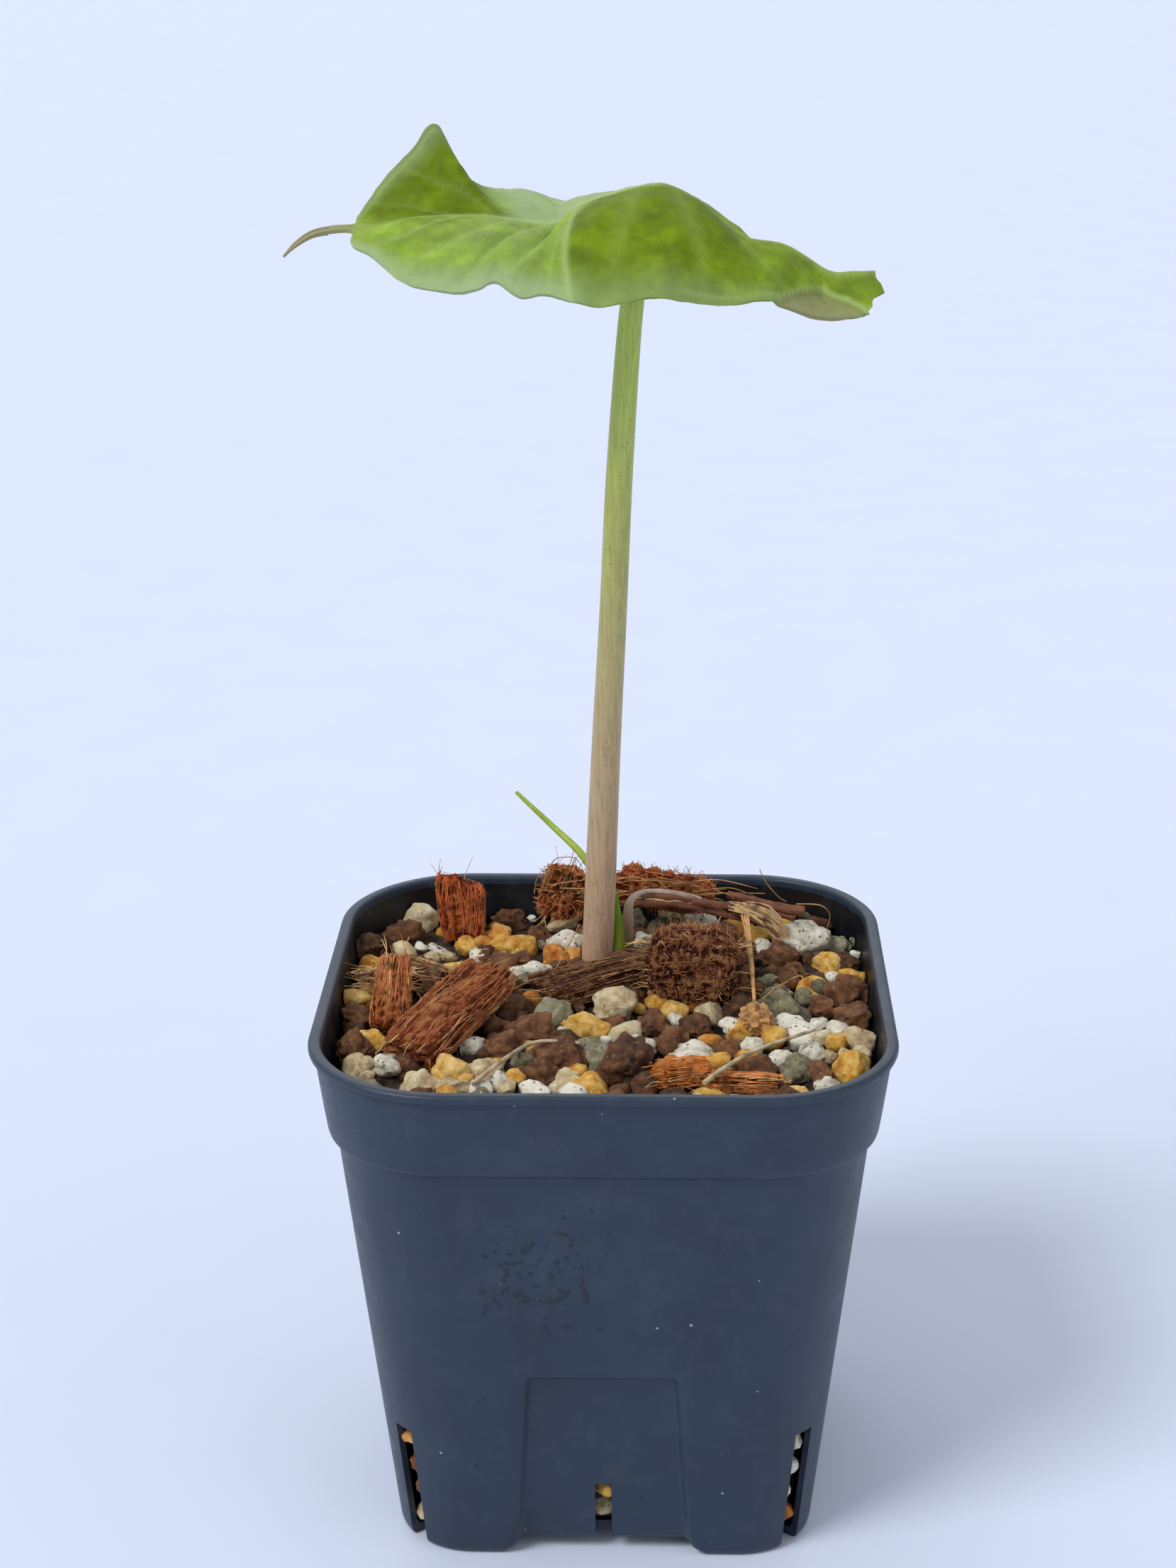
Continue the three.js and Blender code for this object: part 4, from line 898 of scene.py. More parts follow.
def chip_frame(spec):
    """The chip's own axes: along its fibres, across, and up."""
    ahead = Vector(spec["along"]).normalized()
    if abs(ahead.z) > 0.8:
        aside = -Vector((0, 1, 0)).cross(ahead)
    else:
        aside = Vector((0, 0, 1)).cross(ahead)
    aside.normalize()
    up = ahead.cross(aside)
    turn = Matrix((ahead, aside, up)).transposed().to_4x4()
    return Matrix.Translation(spec["at"]) @ turn


def chip_surface(spec, share, angle, lift=0.0):
    """A point of the chip's smooth outline in its own axes, lifted off it by that much."""
    length, width, thickness = spec["size"]
    power = spec.get("round", SLAB_POWER)
    flatten = 1 / (abs(math.cos(angle)) ** power + abs(math.sin(angle)) ** power) ** (1 / power)
    narrowing = 0.4 if "round" in spec else 0.12
    reach = flatten * (1 - narrowing * abs(2 * share - 1) ** 6)
    across = math.cos(angle) * (reach * width * lerp(*spec["ends"], share) / 2 + lift)
    up = math.sin(angle) * (reach * thickness / 2 + lift)
    tilt = spec.get("slant", 0) * across * max(0, 2 * share - 1)
    return Vector(((share - 0.5) * length + tilt, across, up))


def chip_rings(spec, seed):
    """The chip's body in its own axes and its relief: matted along the fibres and torn at the ends."""
    plan = [(0, girth) for girth in reversed(CHIP_CAPS)]
    plan += [(level / CHIP_LEVELS, 1) for level in range(CHIP_LEVELS + 1)]
    plan += [(1, girth) for girth in CHIP_CAPS]
    crumble = 3.0 if "round" in spec else 1.6
    shift = Vector((seed, 0, 0))
    rings, relief = [], []
    for share, girth in plan:
        ring, heights = [], []
        for side in range(CHIP_SIDES):
            angle = 2 * math.pi * side / CHIP_SIDES
            point = chip_surface(spec, share, angle)
            ridge = noise.noise(Vector((point.x * 0.12 + seed, point.y * 0.8, point.z * 0.8)))
            fibre = noise.noise(Vector((point.x * 0.35 + seed, point.y * 2.6, point.z * 2.6)))
            crumb = crumble * (noise.noise(point * 1.1 + shift) + 0.5 * noise.noise(point * 2.6 + shift))
            height = 0.42 * ridge + 0.26 * fibre + 0.3 * crumb
            end = abs(2 * share - 1) ** 3
            torn = noise.noise(Vector((point.y * 0.9 * girth, point.z * 0.9 * girth, seed + 9 * share)))
            fringe = noise.noise(Vector((point.y * 3.1 * girth, point.z * 3.1 * girth, seed)))
            ring.append(Vector((point.x + end * (1.1 * torn + 0.5 * fringe),
                                (point.y + math.cos(angle) * height) * girth,
                                (point.z + math.sin(angle) * height) * girth)))
            heights.append(0.5 + height)
        rings.append(ring)
        relief.append(heights)
    return rings, relief


def pressed_strand(spec, random):
    """A strand that lies along the chip, a little off its surface."""
    angle, start = 2 * math.pi * random(), 0.9 * random()
    lean, wave = 0.5 * (random() - 0.5), 20 * random()
    reach = (3 + 9 * random()) / spec["size"][0]
    radius = 0.03 + 0.05 * random()
    strand = []
    for step in range(5):
        share = min(start + reach * step / 4, 1.05)
        turn = angle + lean * step / 4 + 0.15 * noise.noise(Vector((share * 4, wave, 0)))
        strand.append((chip_surface(spec, share, turn, 0.1 + 0.22 * random()), radius * (1 - 0.12 * step)))
    return strand


def woolly_hair(spec, random):
    """A short curled hair that stands off the chip."""
    angle, share = 2 * math.pi * random(), random()
    curl = Vector((random() - 0.5, random() - 0.5, random() - 0.5))
    radius = 0.035 + 0.035 * random()
    strand = []
    for step in range(4):
        place = chip_surface(spec, share, angle + 0.1 * step * curl.y, 0.1 + 0.32 * random() * step)
        strand.append((place + curl * (0.7 * step * step / 3), radius))
    return strand


def loose_fibre(spec, random):
    """A fibre that stands out of a torn end and bends down."""
    share = round(random())
    angle = 2 * math.pi * random()
    root = chip_surface(spec, 0.25 + 0.5 * share, angle, -0.3)
    rim = chip_surface(spec, share, angle, 0.0)
    away = Vector((2 * share - 1, 0.9 * (random() - 0.5), 0.5 * (random() - 0.4)))
    reach = 1 + 3.4 * random()
    bend = Vector((0, random() - 0.5, random() - 0.6)) * reach * 0.5
    curve = smooth_path([root, rim, rim + away * reach * 0.5, rim + away * reach + bend], 3)
    radius = 0.06 + 0.07 * random()
    return [(place, radius * (1 - 0.6 * step / len(curve))) for step, place in enumerate(curve)]


def chip_strands(spec, count, random):
    """Fine strands on a chip, in its own axes: those of rusty husk, and those of straw."""
    if "round" in spec:
        count //= 5
    rust, straw = [], []
    for make, number, straw_share in ((pressed_strand, count, spec["straw"]),
                                      (woolly_hair, spec["wool"], 0.12),
                                      (loose_fibre, spec["loose"], 0.5 + spec["straw"])):
        for _ in range(number):
            strand = make(spec, random)
            (straw if random() < straw_share else rust).append(strand)
    return rust, straw


def coir_husk(name, tint, straw):
    """Coir husk: matted rusty fibre and corky pith, with painted shade in its hollows and its raised fibres
    lightened towards straw, partly as painted highlight.
    """
    material, tree = new_material(name)
    # The patterns lie in the chip's own millimetres: streaks along the fibres, and lumps of pith.
    along = add_node(tree, "Attribute", attribute_name="fibre_place").outputs["Vector"]
    relief = add_node(tree, "Attribute", attribute_name="husk_relief").outputs["Fac"]
    stretched = add_node(tree, "Mapping", {"Vector": along, "Scale": (0.14, 2.2, 2.2)})
    streak = add_node(tree, "TexNoise", {
        "Vector": stretched, "Scale": 1.0, "Detail": 5.0, "Roughness": 0.75})
    pith = add_node(tree, "TexNoise", {"Vector": along, "Scale": 1.7, "Detail": 5.0, "Roughness": 0.75})
    # The relief sets the colour: hollows near black as painted shade, raised fibres towards pale straw as
    # painted highlight.
    raised = add_node(tree, "Math", {0: relief, 1: 0.55, 2: streak}, operation="MULTIPLY_ADD")
    mixed = add_node(tree, "Math", {0: pith, 1: 0.7, 2: raised}, operation="MULTIPLY_ADD")
    spread = add_node(tree, "MapRange", {"Value": mixed, "From Min": 0.6, "From Max": 1.6})
    straw_and_highlight = lerp(Vector(shade(tint, 1.3)), Vector(straw), 0.45)
    base = add_node(tree, "ValToRGB", {"Fac": spread}, stops=[
        (0.05, shade(tint, 0.08)), (0.42, shade(tint, 0.38)), (0.54, tint), (0.74, straw_and_highlight)])
    both = add_node(tree, "Math", {0: streak, 1: pith}, operation="ADD")
    bump = add_node(tree, "Bump", {"Height": both, "Strength": 1.0, "Distance": 0.0009})
    return finish_material(material, {
        "Base Color": base, "Roughness": 0.95, "Specular IOR Level": 0.2, "Normal": bump})


def dry_fibre(name, colour):
    """A dry fibre: matt straw that darkens in patches."""
    material, tree = new_material(name)
    place = add_node(tree, "TexCoord").outputs["Object"]
    patches = add_node(tree, "TexNoise", {"Vector": place, "Scale": per_metre(2.4), "Detail": 4.0})
    base = add_node(tree, "ValToRGB", {"Fac": patches}, stops=[
        (0.32, shade(colour, 0.32)), (0.5, colour), (0.7, shade(colour, 1.4))])
    bump = add_node(tree, "Bump", {"Height": patches, "Strength": 0.6, "Distance": 0.0003})
    return finish_material(material, {"Base Color": base, "Roughness": 0.8, "Normal": bump})


class PLANT_OT_chips(bpy.types.Operator):
    """Lays the coir husk chips on the mix"""
    bl_idname = "plant.make_chips"
    bl_label = "Husk chips"

    def execute(self, context):
        settings = context.scene.alocasia.mix
        straw = dry_fibre("coir_strand", settings.straw)
        for order, (name, spec) in enumerate(CHIPS.items()):
            tint = srgb(spec["tint"])
            hair = lerp(Vector(shade(tint, 1.1)), Vector(settings.straw), 0.22)
            rust = dry_fibre("hair_" + name, hair)
            bm = bmesh.new()
            bm.verts.layers.float.new("husk_relief")
            place = bm.verts.layers.float_vector.new("fibre_place")
            relief = bm.verts.layers.float["husk_relief"]
            rings, heights = chip_rings(spec, 3.7 * order + 1)
            skin(rings, bm, heights, relief)
            bmesh.ops.recalc_face_normals(bm, faces=bm.faces)
            strands = chip_strands(spec, settings.fibres, random_from(500 + order))
            for index, kind in enumerate(strands, 1):
                before = len(bm.faces)
                add_tubes(bm, kind, 4)
                paint_from(bm, before, index)
            turn = chip_frame(spec)
            for vert in bm.verts:
                vert[place] = vert.co
                vert.co = turn @ vert.co
            husk = coir_husk("coir_" + name, tint, settings.straw)
            finish_piece(name + "_husk", bm, [husk, rust, straw], [name])
        return {"FINISHED"}


# The leaf blade.

# Stations along the blade, from the drip tip to the ends of the lobes:
# midrib or inner edge, front margin, rear margin, front bulge, rear bulge, rear inner edge.
STATIONS = [
    ((-48.6, 11, 199), (-48.5, 10.6, 198.9), (-48.5, 11.4, 199), 0, 0, None),
    ((-46.8, 11, 200.7), (-46.7, 10.4, 200.4), (-46.9, 11.6, 200.8), 0, 0, None),
    ((-44.1, 11, 202.4), (-44, 10.3, 202), (-44.2, 11.7, 202.5), 0, 0, None),
    ((-40.9, 11, 203), (-40.9, 10.2, 202.7), (-40.9, 11.8, 203.2), 0, 0, None),
    ((-37.8, 11, 203.2), (-37.9, 9.8, 202.7), (-37.9, 12, 203.4), 0, 0, None),
    ((-35.2, 11, 203.4), (-37.6, 6.4, 201.2), (-37.6, 14.3, 204.1), 0.3, -0.3, None),
    ((-31, 11, 204.2), (-34.4, 2.2, 200.4), (-36.1, 17.4, 206.4), 1, -0.9, None),
    ((-26.5, 11, 204.6), (-30.3, -1.6, 197.7), (-32.9, 19.8, 210.3), 1.9, -1.5, None),
    ((-22, 11, 204.7), (-25.9, -5.2, 196.9), (-29.3, 21.2, 213.9), 2.3, -1.7, None),
    ((-17.5, 11, 204.6), (-20.9, -6.8, 196.6), (-26, 21.8, 217.2), 2.4, -1.4, None),
    ((-14.7, 11, 204.3), (-18, -7.2, 197.1), (-22.3, 27.4, 208.6), 2.2, 0.4, None),
    ((-12, 11, 203.9), (-15.4, -6.2, 197.9), (-17.4, 28.4, 206.5), 1.6, 0.9, None),
    ((-9.2, 11, 203.6), (-12, -7.6, 196), (-12.5, 28.6, 206.2), 2.2, 0.9, None),
    ((-6.6, 11, 203.9), (-8.5, -7, 196.3), (-8.2, 28.6, 204.8), 1.6, 0.8, None),
    ((-3.8, 11, 206.2), (-5, -8, 195.7), (-3.2, 28.6, 203.2), 2.4, 1.2, None),
    ((1, 11, 207.9), (0, -8.6, 194.9), (3, 28.4, 201.2), 3.4, 2, None),
    ((8, 11, 209.5), (7, -7.4, 195.9), (10, 27.4, 199.2), 2, 2, None),
    ((13.6, 8.6, 207.6), (12, -6.8, 195.2), (16, 26.2, 197), 3, 2, (13.2, 13.4, 207)),
    ((20.2, 7.6, 202.4), (18.2, -5.6, 194.5), (22, 25, 194.8), 2.2, 2, (19.6, 14.8, 201.4)),
    ((27, 7, 201), (25, -3.4, 194.8), (28, 23.6, 192.8), 0.4, 1.6, (25.6, 15.8, 197.8)),
    ((33.4, 6.6, 197.4), (31, -1.4, 192.6), (33, 22.2, 191), -0.9, 1.2, (31, 16.8, 194.4)),
    ((37.1, 6, 197.4), (36.2, 1, 191.8), (36.2, 20.6, 189.8), -0.5, 0.6, (35, 17.8, 191.8)),
    ((40.2, 5.2, 197.6), (38.8, 2.4, 191.7), (38.2, 19.4, 189.2), 0, 0, (37.8, 18.6, 189.8)),
]
LAST_STATION = len(STATIONS) - 1
# Where the two lobes part, where a pale crease crosses the front half, and the millimetres from one
# station to the next.
SINUS_STATION, CREASE_STATION, STATION_LENGTH = 16, 14.05, 4.1
# The torn end of the front lobe: places across it and how far each stands out.
TORN_END = [(0, 0), (0.13, 0.2), (0.3, 1.3), (0.5, 2.1), (0.62, 0.7), (0.72, 0.5), (0.83, 0.7), (1, 0)]
MIDRIB = [Vector(row[0]) for row in STATIONS]
INNER = {"front": MIDRIB, "rear": [Vector(row[5] or row[0]) for row in STATIONS]}
MARGIN = {"front": [Vector(row[1]) for row in STATIONS], "rear": [Vector(row[2]) for row in STATIONS]}
BULGE = {"front": [row[3] for row in STATIONS], "rear": [row[4] for row in STATIONS]}
# Side veins: the station where each leaves the midrib and the one where it meets the margin.
SIDE_VEINS = {
    "front": [(5.6, 4.7), (8.2, 5.5), (10.6, 6.8), (12.6, 8.8), (13.7, 11.0), (14.4, 13.1), (15.6, 15.2),
              (16.4, 17.4), (17.4, 19.6), (18.6, 21.4)],
    "rear": [(5.6, 4.7), (7.8, 5.8), (9.6, 7.2), (11.2, 8.8), (12.8, 10.6), (14.2, 12.4), (15.4, 14.4),
             (16.4, 17.0), (17.4, 19.2), (18.6, 21.2)],
}


def torn_end(position, across):
    """How far a point at the torn end of the front lobe stands out."""
    reach = max(0, position - LAST_STATION + 1) ** 2
    for (low, near), (high, far) in zip(TORN_END, TORN_END[1:]):
        if across <= high:
            return reach * lerp(near, far, (across - low) / (high - low))
    return 0


def lobe_fold(side, position, across):
    """How far a point lies within the small folded piece below the end of the front lobe."""
    if side == "rear" or not 19 < position < 22:
        return -1
    edge = lerp(1.0, 0.3, position - 19) if position < 20 else lerp(0.3, 1.0, (position - 20) / 2)
    return across - edge


def blade_point(side, position, across):
    """A point of the blade and the way its upper face looks; across is 1 at the margin."""
    inner_list = INNER[side] if position > SINUS_STATION else MIDRIB
    inner = catmull(inner_list, position)
    margin = catmull(MARGIN[side], position)
    bulge = catmull(BULGE[side], position)
    before = catmull(MIDRIB, max(position - 0.5, 0))
    after = catmull(MIDRIB, min(position + 0.5, LAST_STATION))
    chord = margin - inner
    rise = (after - before).cross(chord).normalized()
    if side == "front":
        rise.negate()
    point = inner + chord * across + rise * bulge * 4 * across * (1 - across)
    if side == "front":
        point.x += torn_end(position, across)
    return point, rise, chord.length


def vein_lines(side, across):
    """Where the side veins lie along the blade, that far from the midrib."""
    return [lerp(start, end, across ** 0.85) for start, end in SIDE_VEINS[side]]


def on_line(distance, girth):
    """1 on a line, falling to nothing over its girth."""
    return math.exp(-(distance / girth) ** 2)


def blade_details(side, position, across, width):
    """Swell between the veins in shares, and how strongly a vein shows."""
    lines = vein_lines(side, across)
    swell, vein_and_fold_highlight = 0.0, 0.0
    strength = 0.55 if side == "front" and position < 14.6 else 0.2
    for line in lines:
        distance = abs(position - line) * STATION_LENGTH * 0.85
        vein_and_fold_highlight = max(vein_and_fold_highlight, strength * on_line(distance, lerp(0.8, 0.45, across)) * (1 - 0.4 * across))
    if side == "front":
        vein_and_fold_highlight = max(vein_and_fold_highlight, 0.8 * on_line((position - CREASE_STATION) * STATION_LENGTH, 0.5))
    for low, high in zip(lines, lines[1:]):
        if low < position <= high:
            share = (position - low) / (high - low)
            swell = (4 * share * (1 - share)) ** 0.8 * math.sin(math.pi * min(across * 1.05, 1)) ** 0.6
    # The midrib, which is fainter on the lobes, and the pale line that runs 1 mm inside the margin.
    on_midrib = 1 if position <= SINUS_STATION else 0.6
    midrib_girth = lerp(0.35, 0.7, smoothstep(2, 15, position))
    vein_and_fold_highlight = max(vein_and_fold_highlight, on_midrib * on_line(across * width, midrib_girth))
    vein_and_fold_highlight = max(vein_and_fold_highlight, 0.4 * on_line((1 - across) * width - 1.0, 0.25))
    # A painted highlight: a pale line along the edge of the fold below the front lobe, for the gloss of its
    # twisting band.
    fold = lobe_fold(side, position, across)
    if fold > -1:
        vein_and_fold_highlight = max(vein_and_fold_highlight, 0.9 * on_line(fold * width, 0.45))
    return swell, vein_and_fold_highlight


# The numbers kept at the blade's vertices: four for its colours, which also carry a painted sheen on the rear
# half and margins, a painted highlight along the lobe's fold and painted shade on the folded piece; how far
# the midrib stands out below, and the blade's thickness there.
BLADE_LAYERS = ("vein_and_fold_highlight", "pale", "deep", "tip", "depth", "girth")


def blade_half(bm, side, layers, quilting, thickness):
    """Adds one half of the blade as a sheet: quilted between its veins, wavy along its margin."""
    grid = bmesh.ops.create_grid(bm, x_segments=LAST_STATION * 11, y_segments=34, size=1)
    rises = []
    for vert in grid["verts"]:
        position = (vert.co.x + 1) / 2 * LAST_STATION
        across = (vert.co.y + 1) / 2
        point, rise, width = blade_point(side, position, across)
        swell, vein_and_fold_highlight = blade_details(side, position, across, width)
        body = smoothstep(4.5, 7, position)
        wave = (0.2 if side == "front" else 0.5) * noise.noise(point * 0.16) * smoothstep(0.4, 1, across)
        crumple = 0.22 * noise.noise(point * 0.42) + 0.1 * noise.noise(point * 1.1)
        free = smoothstep(0, 0.12, across)
        folded = smoothstep(0, 0.1, lobe_fold(side, position, across))
        lift = quilting * (swell - 0.3) - 0.12 * vein_and_fold_highlight + wave + crumple - 0.8 * folded
        vert.co = point + rise * lift * body * free
        rises.append((vert, rise))
        rib = smoothstep(3, 14, position) * max(0, 1 - across * width / 2.2)
        # The tip's colour also darkens the folded piece below the lobe, as painted shade.
        kept = (vein_and_fold_highlight * body, paleness_and_sheen(side, position, across), deepness(side, position, across),
                max(1 - smoothstep(2.5, 5.5, position), 0.7 * folded),
                0.9 * rib if position < SINUS_STATION else 0,
                thickness * (0.35 + 0.65 * smoothstep(0, 2.5, position)))
        for name, value in zip(BLADE_LAYERS, kept):
            vert[layers[name]] = value
    faces = {face for vert, _ in rises for face in vert.link_faces}
    bm.normal_update()
    if sum(vert.normal.dot(rise) for vert, rise in rises) < 0:
        bmesh.ops.reverse_faces(bm, faces=list(faces))


def leaf_bmesh(settings):
    """The blade as a closed sheet, with the midrib standing out below."""
    bm = bmesh.new()
    layers = dict(zip(BLADE_LAYERS, number_layers(bm, *BLADE_LAYERS)))
    for side in ("front", "rear"):
        blade_half(bm, side, layers, settings.quilting * 1000, settings.thickness * 1000)
    bmesh.ops.remove_doubles(bm, verts=bm.verts, dist=0.002)
    bm.normal_update()
    girth = layers["girth"]
    normals = {vert: vert.normal.copy() for vert in bm.verts}
    under = list(bm.faces)
    for vert in bm.verts:
        vert.co -= normals[vert] * (vert[girth] / 2)
    made = bmesh.ops.extrude_face_region(bm, geom=under, use_keep_orig=True)["geom"]
    upper = {item for item in made if isinstance(item, bmesh.types.BMVert)}
    bm.normal_update()
    for vert in upper:
        vert.co += (vert.normal if vert.normal.length > 0.5 else Vector((0, 0, 1))) * vert[girth]
    bmesh.ops.reverse_faces(bm, faces=under)
    for face in under:
        face.material_index = 1
    for vert, normal in normals.items():
        if vert.is_valid and vert not in upper:
            vert.co -= normal * vert[layers["depth"]]
    bmesh.ops.recalc_face_normals(bm, faces=bm.faces)
    return bm


def paleness_and_sheen(side, position, across):
    """How far the young green fades to whitish: painted sheen on the rear half and along the margins, and a
    faint pale streak across the front half.
    """
    margin = 0.8 * smoothstep(0.72, 1.0, across)
    if side == "rear":
        return max(margin * 0.6, 0.75 * smoothstep(9.4, 11.4, position) * (1 - smoothstep(15, 18, position)))
    lower = margin * (1 - 0.6 * smoothstep(13.5, 15, position))
    return lower + 0.15 * smoothstep(7, 10, position) * (1 - smoothstep(12, 14, position))


def deepness(side, position, across):
    """How far the young green deepens to the saturated green."""
    if side == "rear":
        return smoothstep(4.5, 6, position) * (1 - smoothstep(9.4, 11, position))
    hump = smoothstep(13.9, 14.3, position) * (0.95 - 0.3 * smoothstep(0.6, 1.0, across))
    return hump * (1 - 0.45 * smoothstep(16.5, 20, position))


def leaf_material(settings, upper):
    """A young leaf blade: soft satin skin with pale veins and a fine net between them, painted sheen on the
    rear half and margins, and painted light and shade on the lobe's fold.
    """
    material, tree = new_material("young_leaf_upper" if upper else "young_leaf_under")
    place = add_node(tree, "TexCoord").outputs["Object"]
    parts = {key: add_node(tree, "Attribute", attribute_name=key).outputs["Fac"]
             for key in ("vein_and_fold_highlight", "pale", "deep", "tip")}
    # Both greens are blotched by the same noise, which also varies the gloss.
    blotch = add_node(tree, "TexNoise", {
        "Vector": place, "Scale": per_metre(4.5), "Detail": 5.0, "Roughness": 0.6})
    young = add_node(tree, "ValToRGB", {"Fac": blotch}, stops=[
        (0.34, shade(settings.young, 0.68)), (0.55, settings.young), (0.7, shade(settings.young, 1.35))])
    green = add_node(tree, "ValToRGB", {"Fac": blotch}, stops=[
        (0.34, shade(settings.green, 0.7)), (0.52, settings.green), (0.7, shade(settings.green, 1.4))])
    deep = add_node(tree, "Mix", {SHARE: parts["deep"], UNDER: young, OVER: green}, data_type="RGBA")
    # Painted sheen: whitish green on the rear half and along the margins.
    pale = add_node(tree, "Mix", {SHARE: parts["pale"], UNDER: deep, OVER: rgba(settings.pale)},
                    data_type="RGBA")
    # The net of the finest veins.
    net = add_node(tree, "TexVoronoi", {"Vector": place, "Scale": per_metre(1.5)},
                   feature="DISTANCE_TO_EDGE")
    lines = add_node(tree, "MapRange", {"Value": net, "From Max": 0.1, "To Min": 0.07, "To Max": 0.0})
    netted = add_node(tree, "Mix", {SHARE: lines, UNDER: pale, OVER: rgba(settings.young)},
                      data_type="RGBA")
    strength = add_node(tree, "Math", {0: parts["vein_and_fold_highlight"], 1: 0.72 if upper else 0.9},
                        operation="MULTIPLY")
    veined = add_node(tree, "Mix", {SHARE: strength, UNDER: netted, OVER: rgba(settings.vein_and_fold_highlight)},
                      data_type="RGBA")
    # The drip tip is drier and browner; the same brown darkens the folded piece below the front lobe as
    # painted shade.
    tip = add_node(tree, "Mix", {SHARE: parts["tip"], UNDER: veined, OVER: rgba(srgb("938f6a"))},
                   data_type="RGBA")
    rough = add_node(tree, "MapRange", {
        "Value": blotch, "From Min": 0.3, "From Max": 0.7, "To Min": 0.5, "To Max": 0.65})
    bump = add_node(tree, "Bump", {"Height": net, "Strength": 0.15, "Distance": 0.0003})
    return finish_material(material, {
        "Base Color": tip, "Roughness": rough, "IOR": 1.42, "Specular IOR Level": 0.14,
        "Subsurface Weight": 0.1, "Subsurface Scale": 0.002, "Normal": bump})


class PLANT_OT_leaf(bpy.types.Operator):
    """Makes the leaf blade"""
    bl_idname = "plant.make_leaf"
    bl_label = "Leaf blade"

    def execute(self, context):
        settings = context.scene.alocasia.leaf
        materials = [leaf_material(settings, True), leaf_material(settings, False)]
        finish_piece("leaf", leaf_bmesh(settings), materials, ["leaf_blade"], math.radians(70))
        return {"FINISHED"}


# Stems, shoots and dry parts.

STEM_PATH = [(-1.9, 21, 70.2), (-1.9, 20.5, 79.4), (-0.4, 17.5, 115.4), (1, 15.4, 142),
             (2.1, 14, 165.2), (3.9, 12, 190), (5.6, 11.4, 199), (7.2, 11, 207)]
STEM_RADII = [2.75, 2.7, 2.4, 2.2, 2.1, 1.85, 1.65, 1.5]
# Colours up the stem, from a grey-pink foot to a yellow-green top, and where they begin and end.
STEM_COLOURS = [(0.0, "c8a48c"), (0.14, "c2a888"), (0.34, "b8a47c"), (0.62, "a8ab5e"), (1.0, "b4ca58")]
STEM_SPAN, SHOOT_SPAN, SHEATH_SPAN = (0.08, 0.2), (0.078, 0.106), (0.078, 0.092)
# The shoots: path, radii, steps of the path and colours from foot to tip.
SHOOTS = {
    "inner_shoot": ([(1.4, 20.4, 76), (1.6, 20.3, 84), (1.1, 20.5, 92)], [1.15, 1.05, 0.4], 8,
                    [(0.0, "8a8a3c"), (0.4, "6d8f1e"), (1.0, "7a9a2c")]),
    "back_shoot": ([(0.6, 25.6, 76), (-1.4, 26, 90), (-4.4, 26.4, 96.2), (-9.6, 30, 100.2),
                    (-13.2, 31, 103.4), (-15.8, 32, 105.6)], [0.85, 0.75, 0.65, 0.5, 0.4, 0.32], 6,
                   [(0.0, "a39a5a"), (0.4, "a8b84a"), (1.0, "9db43e")]),
}
SHEATH_PATH = [(3.3, 22, 76), (3.2, 22.2, 84), (3.4, 22.4, 89.2), (5.4, 23.2, 91), (9, 24.2, 90.8),
               (13, 25.6, 89.6), (15.4, 27, 88.4)]
SHEATH_HALF_WIDTHS = [0.9, 0.9, 0.75, 0.45, 0.4, 0.4, 0.3]
SHEATH_COLOURS = [(0.0, "6f563c"), (0.5, "a88d74"), (1.0, "dcc4b8")]
SHEATH_SIDES = 16


def tapered(points, radii, steps=8):
    """A smooth path whose radius runs through the listed ones."""
    curve = smooth_path(points, steps)
    last = len(curve) - 1
    return [(point, catmull(radii, (len(radii) - 1) * index / last)) for index, point in enumerate(curve)]


def rod_piece(name, paths, material, replaced, sides=20):
    """A piece made of round rods."""
    bm = bmesh.new()
    add_tubes(bm, paths, sides)
    bmesh.ops.remove_doubles(bm, verts=bm.verts, dist=0.0005)
    return finish_piece(name, bm, [material], replaced, math.radians(60))


def stem_skin(name, colours, span, streak_mm=0.35):
    """A stem's skin: colour that changes with height, with fine upright streaks and specks."""
    material, tree = new_material(name)
    place = add_node(tree, "TexCoord").outputs["Object"]
    parts = add_node(tree, "SeparateXYZ", {"Vector": place})
    height = add_node(tree, "MapRange", {
        "Value": parts.outputs["Z"], "From Min": span[0], "From Max": span[1]})
    base = add_node(tree, "ValToRGB", {"Fac": height},
                    stops=[(share, srgb(code)) for share, code in colours])
    # Streaks, drawn out upwards.
    stretched = add_node(tree, "Mapping", {"Vector": place, "Scale": (1, 1, 0.06)})
    streak = add_node(tree, "TexNoise", {
        "Vector": stretched, "Scale": per_metre(streak_mm), "Detail": 3.0})
    soft = add_node(tree, "MapRange", {
        "Value": streak, "From Min": 0.3, "From Max": 0.7, "To Min": 0.8, "To Max": 1.15})
    toned = add_node(tree, "HueSaturation", {"Value": soft, "Color": base})
    # Faint brown specks.
    specks = add_node(tree, "TexVoronoi", {"Vector": place, "Scale": per_metre(1.3)})
    speck = add_node(tree, "MapRange", {
        "Value": specks, "From Min": 0.1, "From Max": 0.22, "To Min": 0.3, "To Max": 0.0})
    coloured = add_node(tree, "Mix", {SHARE: speck, UNDER: toned, OVER: rgba(srgb("5f563f"))},
                        data_type="RGBA")
    bump = add_node(tree, "Bump", {"Height": streak, "Strength": 0.4, "Distance": 0.0002})
    return finish_material(material, {
        "Base Color": coloured, "Roughness": 0.42, "IOR": 1.43, "Normal": bump})


